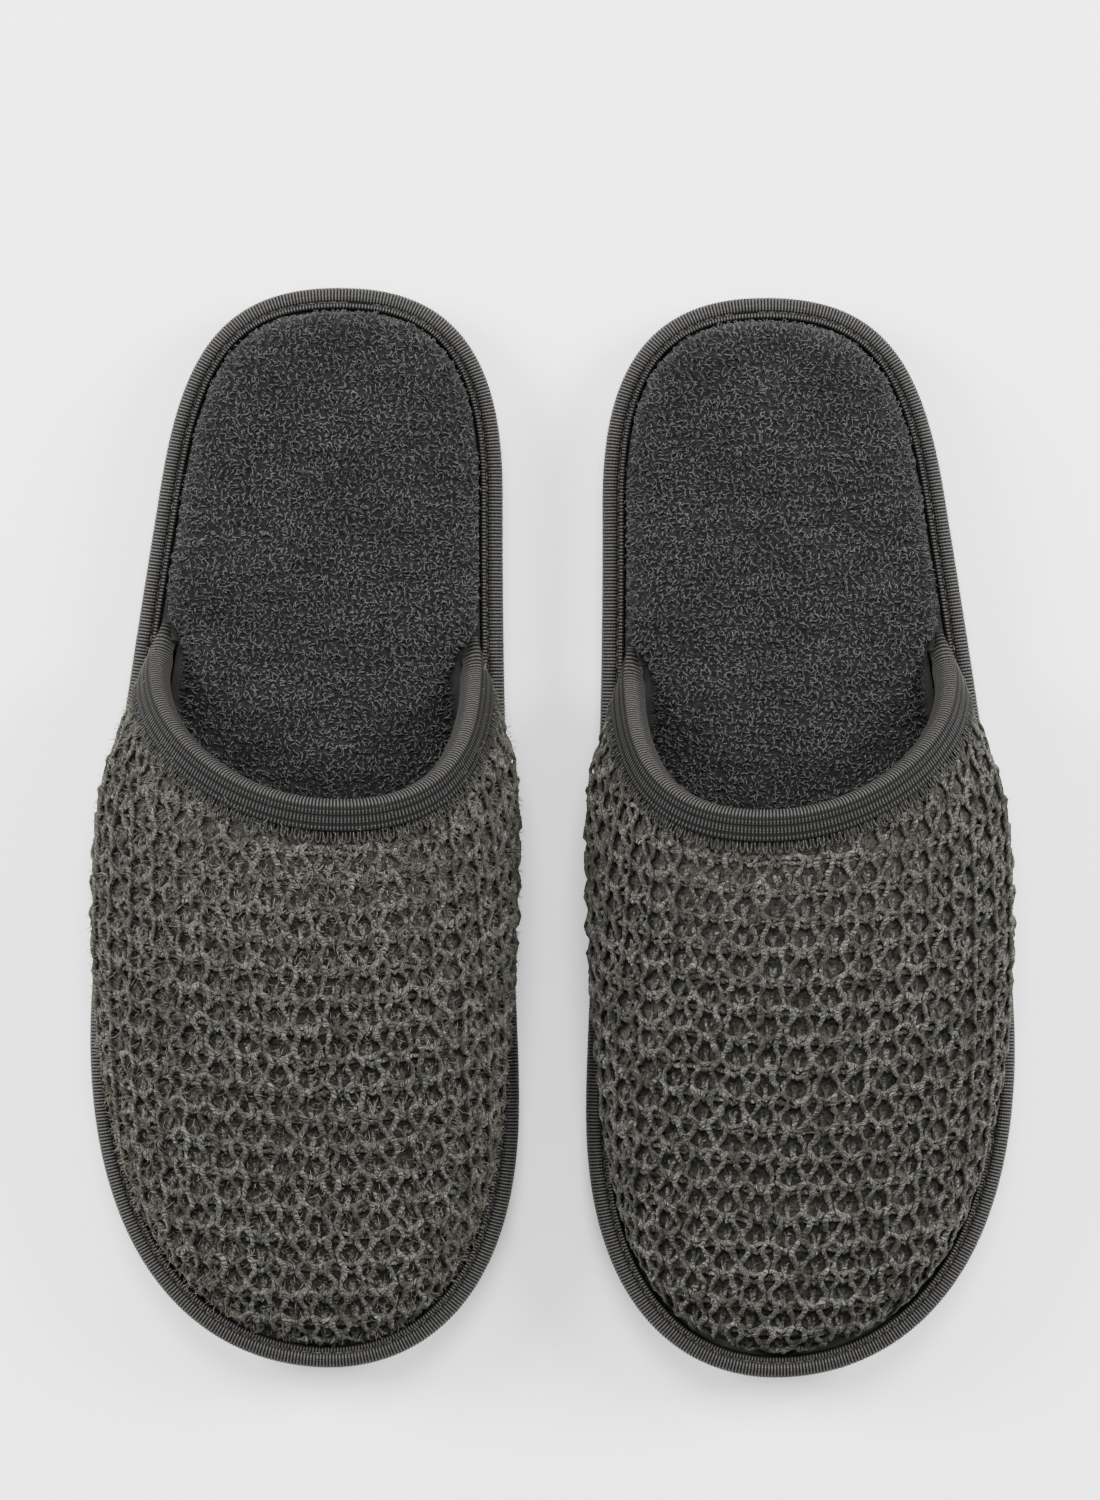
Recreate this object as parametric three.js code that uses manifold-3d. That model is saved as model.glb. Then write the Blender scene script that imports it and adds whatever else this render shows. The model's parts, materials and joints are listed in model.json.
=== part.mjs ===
// A pair of open-backed spa slippers, in millimetres, +Z up, standing on Z = 0, toes towards -Y.
//
// One slipper is worked out in its own frame: x is measured from its long axis, positive
// towards the inner (big toe) side, and "along" is measured from the heel end towards the toe.
// The right slipper uses that frame as it is. The left slipper is its mirror image.
// The sole sandwich is cut across at the arch, where the sole flexes.
import * as THREE from 'three';
import Module from 'manifold-3d';
import { mergeVertices } from 'three/addons/utils/BufferGeometryUtils.js';

const wasm = await Module();
wasm.setup();

// ---- Driving dimensions ----------------------------------------------------------------------

// Plan of the sole
const soleLength = 290;
const heelTipShift = 4;
const toeTipShift = 9.5;
const heelSideAt = 55;
const innerSide = {
  sign: 1, heelReach: 46.3, heelFlare: 0.05, ballReach: 59.4, ballFromToe: 65,
  heelRound: 0.86, heelEase: 0.42, waistEase: 0.56, ballEase: 0.15, toeEase: 0.73, toeRound: 0.51,
};
const outerSide = {
  sign: -1, heelReach: 45.7, heelFlare: 0.11, ballReach: 57.2, ballFromToe: 94,
  heelRound: 0.71, heelEase: 0.67, waistEase: 0.66, ballEase: 0.14, toeEase: 0.68, toeRound: 0.55,
};

// Toe spring: the sole curls up ahead of this point
const springAt = 215;
const toeSpring = 9;

// Sole sandwich, from the floor up
const outsoleThickness = 3.5;
const outsoleInset = 1.2;
const outsoleChamfer = 1.2;
const bindingTape = 1.1;
const bindingFlange = 6;
const bindingRoll = 0.8;
const bindingHem = 0.8;
const bindingShoulder = { inset: 1.2, drop: 1.8 };
const bindingCrest = 3;
const midsoleThickness = 5;
const boardThickness = 1.2;
const foamHeight = 6;
const coverThickness = 2.5;
const cushionRound = 9;
const cushionEdge = 0.4;
const cushionCrown = 1;
const cushionToeGap = 2;
const cushionNarrowing = { before: 9, done: 1 };

// Upper, from the outside in
const knitThickness = 3;
const paddingThickness = 2.4;
const liningThickness = 2;
const layerGap = 0.6;
const edgeThinning = 0.45;
const collarThinning = 0.7;
const throatHeight = 50;
const sideBulge = 10.3;
const toeBulge = 0.5;
const bulgeFadeFrom = 150;
const bulgeFadeTo = 275;
const roundedness = 0.55;
const toeBlunt = 0.68;
const bulgeFullAt = 24;
const bulgeTop = 0.75;
const edgeFullAt = 20;
const collarThinFrom = 0.7;
const rearThinTo = 0.2;

// Collar line, seen from above
const collarStart = 97;
const throatAt = 139.6;
const throatShift = 5;
const collarEndHeight = 4.5;
const collarRise = 0.85;
const outerCorner = { reach: 50, along: 118, sweep: 24 };
const innerCorner = { reach: 45.5, along: 127, sweep: 33 };
const collarTape = 1;
const collarTapeWidth = 8.6;
const stitchThread = 0.9;
const stitchDrop = 0.3;

// Flexing and fit
const flexAt = 77;
const gap = 0.3;
const edgeGap = 0.5;
const upperClear = 0.7;
const foldClear = 0.9;
const tapeClear = 0.4;
const insideClear = 1.1;

// The pair
const pairSpacing = 114;
const stagger = 2.7;
const splayAngle = THREE.MathUtils.degToRad(3);

// ---- Heights that follow from the sandwich ---------------------------------------------------

const bindingBottom = outsoleThickness + gap;
const midsoleBottom = bindingBottom + bindingTape + gap;
const boardBottom = midsoleBottom + midsoleThickness + gap;
const seat = boardBottom + boardThickness + gap;
const wallInset = bindingTape + edgeGap;
const upperInset = bindingFlange + upperClear;
const coverInset = upperInset;
const foamInset = coverInset + coverThickness + gap;
const upperBuild = knitThickness + paddingThickness + liningThickness;
const collarInside = upperInset + upperBuild * edgeThinning + 2 * layerGap + insideClear + collarTape;
const tuckInset = collarInside + edgeGap;
const cushionHeight = foamHeight + gap + coverThickness;
const narrowFrom = collarStart - cushionNarrowing.before;
const narrowTo = collarStart - cushionNarrowing.done;
const bindingClear = bindingTape + bindingRoll + edgeGap;

// ---- Small helpers ---------------------------------------------------------------------------

const { lerp, smoothstep } = THREE.MathUtils;

// A point of the slipper: x, distance along from the heel end, height
function place(x, along, z) {
  return new THREE.Vector3(x, -along, z);
}

function signedVolume(points, triangles) {
  let volume = 0;
  for (const [a, b, c] of triangles) {
    volume += points[a].dot(new THREE.Vector3().crossVectors(points[b], points[c])) / 6;
  }
  return volume;
}

// A closed body from points and triangles, turned so that its faces point outwards
function closedBody(points, triangles) {
  const inward = signedVolume(points, triangles) < 0;
  const geometry = new THREE.BufferGeometry();
  geometry.setFromPoints(points);
  geometry.setIndex(triangles.flatMap(([a, b, c]) => (inward ? [a, c, b] : [a, b, c])));
  return geometry;
}

// Faces that fill a closed ring, worked from both of its ends at once
function fillRing(ring) {
  const faces = [];
  let i = 0;
  let j = ring.length - 1;
  while (j - i > 1) {
    if (ring[i + 1].distanceTo(ring[j]) <= ring[i].distanceTo(ring[j - 1])) {
      faces.push([i, i + 1, j]);
      i += 1;
    } else {
      faces.push([i, j - 1, j]);
      j -= 1;
    }
  }
  return faces;
}

// Closed rings joined one to the next, with the first and the last ring filled in
function loft(rings) {
  const count = rings[0].length;
  const last = (rings.length - 1) * count;
  const triangles = [];
  for (let start = 0; start < last; start += count) {
    for (let i = 0; i < count; i++) {
      const a = start + i;
      const b = start + (i + 1) % count;
      triangles.push([a, b, b + count], [a, b + count, a + count]);
    }
  }
  for (const [a, b, c] of fillRing(rings[0])) triangles.push([c, b, a]);
  for (const face of fillRing(rings.at(-1))) triangles.push(face.map((index) => index + last));
  return closedBody(rings.flat(), triangles);
}

// Two grids of points, the same rows and columns, joined along their borders into a thin body
function sheetBody(outer, inner) {
  const rows = outer.length;
  const columns = outer[0].length;
  const size = rows * columns;
  const index = (row, column) => row * columns + column;
  const triangles = [];
  for (let row = 0; row + 1 < rows; row++) {
    for (let column = 0; column + 1 < columns; column++) {
      const a = index(row, column);
      const b = index(row, column + 1);
      const c = index(row + 1, column + 1);
      const d = index(row + 1, column);
      triangles.push([a, b, c], [a, c, d]);
      triangles.push([a + size, c + size, b + size], [a + size, d + size, c + size]);
    }
  }
  const border = [];
  for (let column = 0; column < columns; column++) border.push(index(0, column));
  for (let row = 1; row < rows; row++) border.push(index(row, columns - 1));
  for (let column = columns - 2; column >= 0; column--) border.push(index(rows - 1, column));
  for (let row = rows - 2; row > 0; row--) border.push(index(row, 0));
  border.forEach((a, i) => {
    const b = border[(i + 1) % border.length];
    triangles.push([b, a, a + size], [b, a + size, b + size]);
  });
  return closedBody([...outer.flat(), ...inner.flat()], triangles);
}

function toSolid(geometry) {
  const merged = mergeVertices(geometry);
  return new wasm.Manifold(new wasm.Mesh({
    numProp: 3,
    vertProperties: new Float32Array(merged.attributes.position.array),
    triVerts: new Uint32Array(merged.index.array),
  }));
}

function fromSolid(solid) {
  const mesh = solid.getMesh();
  const geometry = new THREE.BufferGeometry();
  geometry.setAttribute('position', new THREE.BufferAttribute(mesh.vertProperties, 3));
  geometry.setIndex(new THREE.BufferAttribute(mesh.triVerts, 1));
  return geometry;
}

// ---- Plan outline ----------------------------------------------------------------------------

// One side of the sole from the heel end to the toe tip: round the heel, along the waist to
// the ball, and round the toes. Points are (x, along).
function sideCurves(side) {
  const ballAt = soleLength - side.ballFromToe;
  const heelTip = new THREE.Vector2(heelTipShift, 0);
  const heel = new THREE.Vector2(side.sign * side.heelReach, heelSideAt);
  const ball = new THREE.Vector2(side.sign * side.ballReach, ballAt);
  const toeTip = new THREE.Vector2(toeTipShift, soleLength);
  const heelWay = new THREE.Vector2(side.sign * side.heelFlare, 1).normalize();
  const waist = ballAt - heelSideAt;
  return [
    new THREE.CubicBezierCurve(
      heelTip,
      new THREE.Vector2(lerp(heelTip.x, heel.x, side.heelRound), 0),
      heel.clone().addScaledVector(heelWay, -heelSideAt * side.heelEase),
      heel),
    new THREE.CubicBezierCurve(
      heel,
      heel.clone().addScaledVector(heelWay, waist * side.waistEase),
      new THREE.Vector2(ball.x, ball.y - waist * side.ballEase),
      ball),
    new THREE.CubicBezierCurve(
      ball,
      new THREE.Vector2(ball.x, ball.y + side.ballFromToe * side.toeEase),
      new THREE.Vector2(lerp(toeTip.x, ball.x, side.toeRound), soleLength),
      toeTip),
  ];
}

const outlineSteps = 80;

// That side drawn inwards by an inset, as many short steps, each with its outward direction
function sideLine(side, inset) {
  const steps = sideCurves(side).flatMap((curve, order) => {
    const line = [];
    for (let i = order === 0 ? 0 : 1; i <= outlineSteps; i++) {
      const point = curve.getPoint(i / outlineSteps);
      const way = curve.getTangent(i / outlineSteps);
      const out = new THREE.Vector2(way.y, -way.x).multiplyScalar(side.sign);
      line.push({ at: point.addScaledVector(out, -inset), out });
    }
    return line;
  });
  return steps;
}

const savedLines = new Map();

function insetLine(side, inset) {
  const key = `${side.sign} ${inset}`;
  if (!savedLines.has(key)) savedLines.set(key, sideLine(side, inset));
  return savedLines.get(key);
}

// Where that line stands at a distance along the sole
function reachAt(side, inset, along) {
  const line = insetLine(side, inset);
  let i = line.findIndex((step) => step.at.y >= along);
  if (i < 0) i = line.length - 1;
  if (i === 0) return line[0].at.x;
  const from = line[i - 1].at;
  const to = line[i].at;
  return lerp(from.x, to.x, Math.min(1, (along - from.y) / (to.y - from.y)));
}

// Steps along one side between two stations, spread so that they crowd where the line turns
function spreadSteps(side, from, to, count) {
  const line = insetLine(side, 0);
  const turnWeight = 110;
  const inside = line.filter((step) => step.at.y >= from && step.at.y <= to);
  const weights = [0];
  for (let i = 1; i < inside.length; i++) {
    const length = inside[i].at.distanceTo(inside[i - 1].at);
    const turn = Math.abs(inside[i].out.angleTo(inside[i - 1].out));
    weights.push(weights[i - 1] + length + turn * turnWeight);
  }
  const steps = [];
  for (let k = 0; k <= count; k++) {
    const goal = weights.at(-1) * k / count;
    const i = Math.max(1, weights.findIndex((weight) => weight >= goal - 1e-9));
    const share = (goal - weights[i - 1]) / (weights[i] - weights[i - 1]);
    steps.push({
      at: inside[i - 1].at.clone().lerp(inside[i].at, share),
      out: inside[i - 1].out.clone().lerp(inside[i].out, share).normalize(),
    });
  }
  return steps;
}

// ---- Toe spring ------------------------------------------------------------------------------

const springSteps = 8;
const springKnots = [];
for (let i = 0; i <= springSteps; i++) {
  springKnots.push(lerp(springAt, soleLength, i / springSteps));
}

function springCurve(along) {
  return toeSpring * ((along - springAt) / (soleLength - springAt)) ** 2;
}

// Height of the curl, straight between its knots, so that every layer bends alike
function lift(along) {
  if (along <= springAt) return 0;
  const step = (soleLength - springAt) / springSteps;
  const knot = Math.min(springSteps - 1, Math.floor((along - springAt) / step));
  const from = springKnots[knot];
  return lerp(springCurve(from), springCurve(from + step), (along - from) / step);
}

// ---- Sole layers -----------------------------------------------------------------------------

const heelPart = { name: 'heel', isHeel: true, cut: flexAt - gap / 2 };
const frontPart = { name: 'front', isHeel: false, cut: flexAt + gap / 2 };

const roundSteps = [0.15, 1.2, 3.5, 7.5, 13, 20, 30, 42, 58];
const toeSteps = 3;
const waistShares = [0.05, 0.3, 0.55];
const cutRoom = 8;
const tipRoom = 0.1;

// Stations of a layer, close together round the heel and the toe tip
function stations(part, inset) {
  const endSteps = roundSteps.map((step) => step + inset);
  if (part.isHeel) {
    return [...endSteps.filter((along) => along < part.cut - cutRoom), part.cut];
  }
  const waist = waistShares.map((share) => lerp(collarStart, springAt, share));
  const toe = endSteps.slice(0, toeSteps).map((step) => soleLength - step);
  const tip = soleLength - inset - tipRoom;
  return [part.cut, narrowFrom, narrowTo, ...waist, ...springKnots, ...toe]
    .filter((along) => along <= tip).sort((p, q) => p - q);
}

// A layer whose section is the same all along: corners are side, inset and height
function soleLayer(part, inset, corners) {
  return loft(stations(part, inset).map((along) => corners.map(
    ([side, depth, z]) => place(reachAt(side, depth, along), along, z + lift(along)))));
}

function flatLayer(part, inset, bottom, top) {
  return soleLayer(part, inset, [
    [outerSide, inset, bottom],
    [innerSide, inset, bottom],
    [innerSide, inset, top],
    [outerSide, inset, top],
  ]);
}

function outsole(part) {
  const foot = outsoleInset + outsoleChamfer;
  return soleLayer(part, foot, [
    [outerSide, foot, 0],
    [innerSide, foot, 0],
    [innerSide, outsoleInset, outsoleChamfer],
    [innerSide, outsoleInset, outsoleThickness],
    [outerSide, outsoleInset, outsoleThickness],
    [outerSide, outsoleInset, outsoleChamfer],
  ]);
}

// The tape rolled round the rim of the midsole and board: a C in section, open inwards.
// Corners are inset from the outline and height.
function bindingSection() {
  const top = seat + bindingTape;
  const inside = bindingFlange;
  return [
    [inside, bindingBottom],
    [bindingHem, bindingBottom],
    [0, bindingBottom + bindingTape],
    [0, top - bindingShoulder.drop],
    [bindingShoulder.inset, top + bindingRoll / 2],
    [bindingCrest, top + bindingRoll],
    [inside, top],
    [inside, seat],
    [bindingTape, seat],
    [bindingTape, bindingBottom + bindingTape],
    [inside, bindingBottom + bindingTape],
  ].map(([inset, z]) => new THREE.Vector2(inset, z));
}

const rimSteps = { heel: 11, front: 17 };

function soleBinding(part) {
  const [from, to] = part.isHeel ? [0, part.cut] : [part.cut, soleLength];
  const count = rimSteps[part.name];
  const outer = spreadSteps(outerSide, from, to, count);
  const inner = spreadSteps(innerSide, from, to, count);
  const path = part.isHeel
    ? [...outer.reverse(), ...inner.slice(1)]
    : [...outer, ...inner.reverse().slice(1)];
  const section = bindingSection();
  const rings = path.map(({ at, out }) => section.map((corner) => {
    const point = at.clone().addScaledVector(out, -corner.x);
    return place(point.x, point.y, corner.y + lift(point.y));
  }));
  return loft(rings);
}

// ---- Footbed cushion -------------------------------------------------------------------------

// The cushion fills the rim at the heel and narrows ahead of it to pass inside the upper
const tuck = tuckInset - coverInset;

// How much further in the cushion stays at the toe, to lie where the lining has risen above it
const toeProbes = [0.36, 0.43, 0.5, 0.57, 0.64];
const probeStep = 0.005;
let savedToeTuck = null;

function toeTuck() {
  if (savedToeTuck !== null) return savedToeTuck;
  savedToeTuck = tuck;
  for (const around of toeProbes) {
    const side = around <= 0.5 ? outerSide : innerSide;
    const { at, out } = featherPoint(side, around <= 0.5 ? around * 2 : 2 - around * 2);
    let up = 0;
    let inside = at;
    let height = 0;
    while (height < cushionHeight && up < 1) {
      up += probeStep;
      const point = upperPoint(around, up, upperBuild, 2 * layerGap);
      inside = new THREE.Vector2(point.x, -point.y);
      height = point.z - seat - lift(-point.y);
    }
    const room = upperInset - coverInset + at.clone().sub(inside).dot(out) + cushionToeGap;
    savedToeTuck = Math.max(savedToeTuck, room);
  }
  return savedToeTuck;
}

function cushionInset(inset, along) {
  const toe = (toeTuck() - tuck) * smoothstep(along, springAt, soleLength - 2 * cushionRound);
  return inset + tuck * smoothstep(along, narrowFrom, narrowTo) + toe;
}

const pillowSteps = [0, 2, 5, cushionRound, 20];
const pillowReach = 0.9;

// A pillow standing on the board: rounded over near its edges, flat in the middle
function pillow(part, inset, bottom, height) {
  const toeInset = inset + toeTuck();
  const rings = stations(part, part.isHeel ? inset : toeInset).map((along) => {
    const sideInset = cushionInset(inset, along);
    const left = reachAt(outerSide, sideInset, along);
    const right = reachAt(innerSide, sideInset, along);
    const half = (right - left) / 2;
    const fromEnd = Math.min(along - inset, soleLength - toeInset - along);
    const top = (fromSide) => {
      const fall = 1 - Math.min(cushionRound, fromSide, fromEnd) / cushionRound;
      const share = lerp(cushionEdge, 1, Math.sqrt(1 - fall * fall));
      const crown = cushionCrown * (1 - (1 - fromSide / half) ** 2);
      return place(0, along, seat + height * share + crown + lift(along));
    };
    const across = pillowSteps.map((step) => (
      Math.min(step, pillowReach * half * step / pillowSteps.at(-1))));
    const leftTop = across.map((step) => top(step).setX(left + step));
    const rightTop = across.map((step) => top(step).setX(right - step)).reverse();
    const base = bottom + lift(along);
    return [place(left, along, base), ...leftTop, ...rightTop, place(right, along, base)];
  });
  return loft(rings);
}

function footbedFoam(part) {
  return pillow(part, foamInset, seat, foamHeight);
}

const overrun = 2;
const underrun = 1;

// The plush cover: the cushion's outer pillow less the room that the foam takes up
function footbedCover(part) {
  const open = { ...part, cut: part.cut + (part.isHeel ? overrun : -overrun) };
  const outer = toSolid(pillow(part, coverInset, seat, cushionHeight));
  const room = toSolid(pillow(open, foamInset - gap, seat - underrun, foamHeight + gap));
  return fromSolid(outer.subtract(room));
}

// ---- Upper -----------------------------------------------------------------------------------

// The collar line seen from above, from its rear end at the sole to the middle of the throat
function collarCurve(side) {
  const corner = side === outerSide ? outerCorner : innerCorner;
  const end = new THREE.Vector2(reachAt(side, upperInset, collarStart), collarStart);
  return new THREE.CubicBezierCurve(
    end,
    new THREE.Vector2(side.sign * corner.reach, corner.along),
    new THREE.Vector2(side.sign * corner.sweep, throatAt),
    new THREE.Vector2(throatShift, throatAt));
}

// The line where the upper meets the board, from the collar's rear end to the toe tip, evenly
function featherPoint(side, share) {
  const line = insetLine(side, upperInset).filter((step) => step.at.y >= collarStart);
  line.unshift({
    at: new THREE.Vector2(reachAt(side, upperInset, collarStart), collarStart),
    out: line[0].out,
  });
  const lengths = [0];
  for (let i = 1; i < line.length; i++) {
    lengths.push(lengths[i - 1] + line[i].at.distanceTo(line[i - 1].at));
  }
  const goal = share * lengths.at(-1);
  const i = Math.max(1, lengths.findIndex((length) => length >= goal - 1e-9));
  const part = (goal - lengths[i - 1]) / (lengths[i] - lengths[i - 1]);
  return {
    at: line[i - 1].at.clone().lerp(line[i].at, part),
    out: line[i - 1].out.clone().lerp(line[i].out, part).normalize(),
  };
}

// The upper's outer face. around runs 0 to 1 from the outer rear end, round the toe, to the
// inner rear end. up runs 0 to 1 from the board to the collar line.
function upperFace(around, up) {
  const side = around <= 0.5 ? outerSide : innerSide;
  const share = around <= 0.5 ? around * 2 : 2 - around * 2;
  const { at, out } = featherPoint(side, share);
  const collar = collarCurve(side).getPoint(share);
  const climb = (collar.y - collarStart) / (throatAt - collarStart);
  const rise = collarEndHeight + (throatHeight - collarEndHeight) * climb ** collarRise;
  const angle = up * Math.PI / 2;
  const inwards = 1 - Math.cos(angle);
  const upwards = lerp(inwards, Math.sin(angle) ** toeBlunt, roundedness);
  const start = bindingClear / rise;
  const swell = Math.sin(Math.PI * Math.max(0, (upwards - start) / (1 - start)) ** bulgeTop);
  const full = lerp(sideBulge, toeBulge, smoothstep(at.y, bulgeFadeFrom, bulgeFadeTo));
  const bulge = swell * full * smoothstep(rise, collarEndHeight, bulgeFullAt);
  const plan = at.clone().lerp(collar, inwards).addScaledVector(out, bulge);
  return place(plan.x, plan.y, seat + rise * upwards + lift(plan.y));
}

const nudge = 0.004;

function upperNormal(around, up) {
  const [a0, a1] = [Math.max(0, around - nudge), Math.min(1, around + nudge)];
  const [u0, u1] = [Math.max(0, up - nudge), Math.min(1, up + nudge)];
  const along = upperFace(a1, up).sub(upperFace(a0, up));
  const across = upperFace(around, u1).sub(upperFace(around, u0));
  return along.cross(across).normalize();
}

// How much of its full thickness the padded upper keeps, thin at the board and the collar
function fullness(around, up) {
  const height = upperFace(around, up).z - seat;
  const atBoard = lerp(edgeThinning, 1, smoothstep(height, 0, edgeFullAt));
  const atCollar = lerp(1, collarThinning, smoothstep(up, collarThinFrom, 1));
  const atRearEnd = lerp(edgeThinning, 1, smoothstep(Math.min(around, 1 - around), 0, rearThinTo));
  return Math.min(atBoard, atCollar, atRearEnd);
}

// A point below the outer face: layers is the thickness passed, clear the gaps passed
function upperPoint(around, up, layers, clear) {
  const depth = layers * fullness(around, up) + clear;
  const point = upperFace(around, up).addScaledVector(upperNormal(around, up), -depth);
  const base = seat + lift(-point.y);
  if (up === 0) return point.setZ(base);
  return point.setZ(Math.max(point.z, base));
}

const faceSteps = 60;
const lengthSteps = 20;

// How far up the face a distance down from the collar line lies
function upAtDistance(around, distance) {
  const steps = faceSteps;
  let passed = 0;
  let above = upperFace(around, 1);
  for (let i = steps - 1; i >= 0; i--) {
    const below = upperFace(around, i / steps);
    const step = above.distanceTo(below);
    if (passed + step >= distance) return (i + 1 - (distance - passed) / step) / steps;
    passed += step;
    above = below;
  }
  return 0;
}

function faceLength(around) {
  let length = 0;
  for (let i = 0; i < lengthSteps; i++) {
    const next = upperFace(around, (i + 1) / lengthSteps);
    length += upperFace(around, i / lengthSteps).distanceTo(next);
  }
  return length;
}

// The tape's width on the face, narrower where the collar runs down to the sole
function tapeWidth(around) {
  return Math.min(collarTapeWidth, faceLength(around) - bindingClear - gap);
}

const endStep = 0.02;
const turns = 22;
const aroundStations = [0];
for (let i = 0; i <= turns; i++) aroundStations.push(lerp(endStep, 1 - endStep, i / turns));
aroundStations.push(1);

const lowerSteps = [0, 0.02, 0.06, 0.14, 0.28, 0.48, 0.72, 1];

// Levels of the upper at one place: from the board to the tape's edge, its middle, the collar
function levels(around) {
  const edge = upAtDistance(around, tapeWidth(around));
  const half = upAtDistance(around, tapeWidth(around) / 2);
  return [...lowerSteps.map((step) => step * edge), half, 1];
}

function upperGrid(layers, clear) {
  return aroundStations.map((around) => (
    levels(around).map((up) => upperPoint(around, up, layers, clear))));
}

function upperLayer(from, to, clear) {
  return sheetBody(upperGrid(from, clear), upperGrid(to, clear));
}

// The tape folded over the collar edge of all three layers. Its two faces run from the edge on
// the knit, over the fold, to the edge on the lining.
function collarBinding() {
  const inside = 2 * layerGap + insideClear;
  const face = (around, out) => {
    const [edge, half] = levels(around).slice(-3, -1);
    const onward = upperFace(around, 1).sub(upperFace(around, 0.97)).normalize();
    const above = (up) => upperPoint(around, up, 0, -tapeClear - out);
    const below = (up) => upperPoint(around, up, upperBuild, inside + out);
    const past = (point) => point.addScaledVector(onward, foldClear + out);
    return [
      above(edge), above(half), above(1), past(above(1)),
      past(below(1)), below(1), below(half), below(edge),
    ];
  };
  return sheetBody(
    aroundStations.map((around) => face(around, collarTape)),
    aroundStations.map((around) => face(around, 0)));
}

// The overlock thread that runs along the tape's lower edge, on the knit
function collarStitching() {
  const rings = [];
  const sides = 5;
  const radius = stitchThread / 2;
  for (const around of aroundStations.slice(3, -3)) {
    const up = upAtDistance(around, collarTapeWidth + gap + radius + stitchDrop);
    const centre = upperPoint(around, up, 0, -gap - radius);
    const out = upperNormal(around, up);
    const down = upperFace(around, up - 0.02).sub(upperFace(around, up)).normalize();
    rings.push(Array.from({ length: sides }, (_, corner) => {
      const angle = corner / sides * Math.PI * 2;
      return centre.clone()
        .addScaledVector(out, radius * Math.cos(angle))
        .addScaledVector(down, radius * Math.sin(angle));
    }));
  }
  return loft(rings);
}

// ---- Finishes --------------------------------------------------------------------------------

function finish(color, roughness) {
  return new THREE.MeshStandardMaterial({ color, roughness, metalness: 0 });
}

const knitCotton = finish(0x44423c, 0.95);
const plushFleece = finish(0x3c3d3e, 1);
const ribbedTape = finish(0x43413f, 0.85);
const thread = finish(0x4b4946, 0.8);
const foam = finish(0x8b8d90, 0.95);
const fibreBoard = finish(0x9a7f5c, 0.9);
const softRubber = finish(0x2b2b2d, 0.75);

// ---- One slipper -----------------------------------------------------------------------------

function addPiece(slipper, name, geometry, material) {
  const mesh = new THREE.Mesh(geometry, material);
  mesh.name = name;
  slipper.add(mesh);
}

function makeSlipper(prefix) {
  const slipper = new THREE.Group();
  const add = (name, geometry, material) => {
    addPiece(slipper, `${prefix}_${name}`, geometry, material);
  };
  for (const part of [frontPart, heelPart]) {
    add(`outsole_${part.name}`, outsole(part), softRubber);
    add(`midsole_${part.name}`,
      flatLayer(part, wallInset, midsoleBottom, midsoleBottom + midsoleThickness), foam);
    add(`insole_board_${part.name}`,
      flatLayer(part, wallInset, boardBottom, boardBottom + boardThickness), fibreBoard);
    add(`sole_binding_${part.name}`, soleBinding(part), ribbedTape);
    add(`footbed_foam_${part.name}`, footbedFoam(part), foam);
    add(`footbed_cover_${part.name}`, footbedCover(part), plushFleece);
  }
  const paddingTop = knitThickness;
  const liningTop = knitThickness + paddingThickness;
  add('upper_knit', upperLayer(0, knitThickness, 0), knitCotton);
  add('upper_padding', upperLayer(paddingTop, liningTop, layerGap), foam);
  add('upper_lining', upperLayer(liningTop, upperBuild, 2 * layerGap), plushFleece);
  add('collar_binding', collarBinding(), ribbedTape);
  add('collar_stitching', collarStitching(), thread);
  return slipper;
}

const pair = new THREE.Group();

const right = makeSlipper('right');
right.position.set(-pairSpacing / 2, 0, 0);
right.rotation.z = -splayAngle;
pair.add(right);

const left = makeSlipper('left');
left.position.set(pairSpacing / 2, -stagger, 0);
left.rotation.z = splayAngle;
left.scale.x = -1;
pair.add(left);

// The pair stands with the middle of its footprint at the origin
pair.updateMatrixWorld(true);
const box = new THREE.Box3().setFromObject(pair, true);
const middle = box.getCenter(new THREE.Vector3());
pair.position.set(-middle.x, -middle.y, -box.min.z);
pair.updateMatrixWorld(true);

export default pair;
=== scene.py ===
"""A pair of spa slippers: waffle-knit uppers, taped collars, plush footbeds and taped soles.

The slippers are worked out in millimetres in each slipper's own frame (x from its long axis
towards the big toe, along from the heel end towards the toe, height above the floor), and are
placed in the room, in metres, from the frame's own boxes and joints.
"""
import functools
import json
import math

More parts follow.
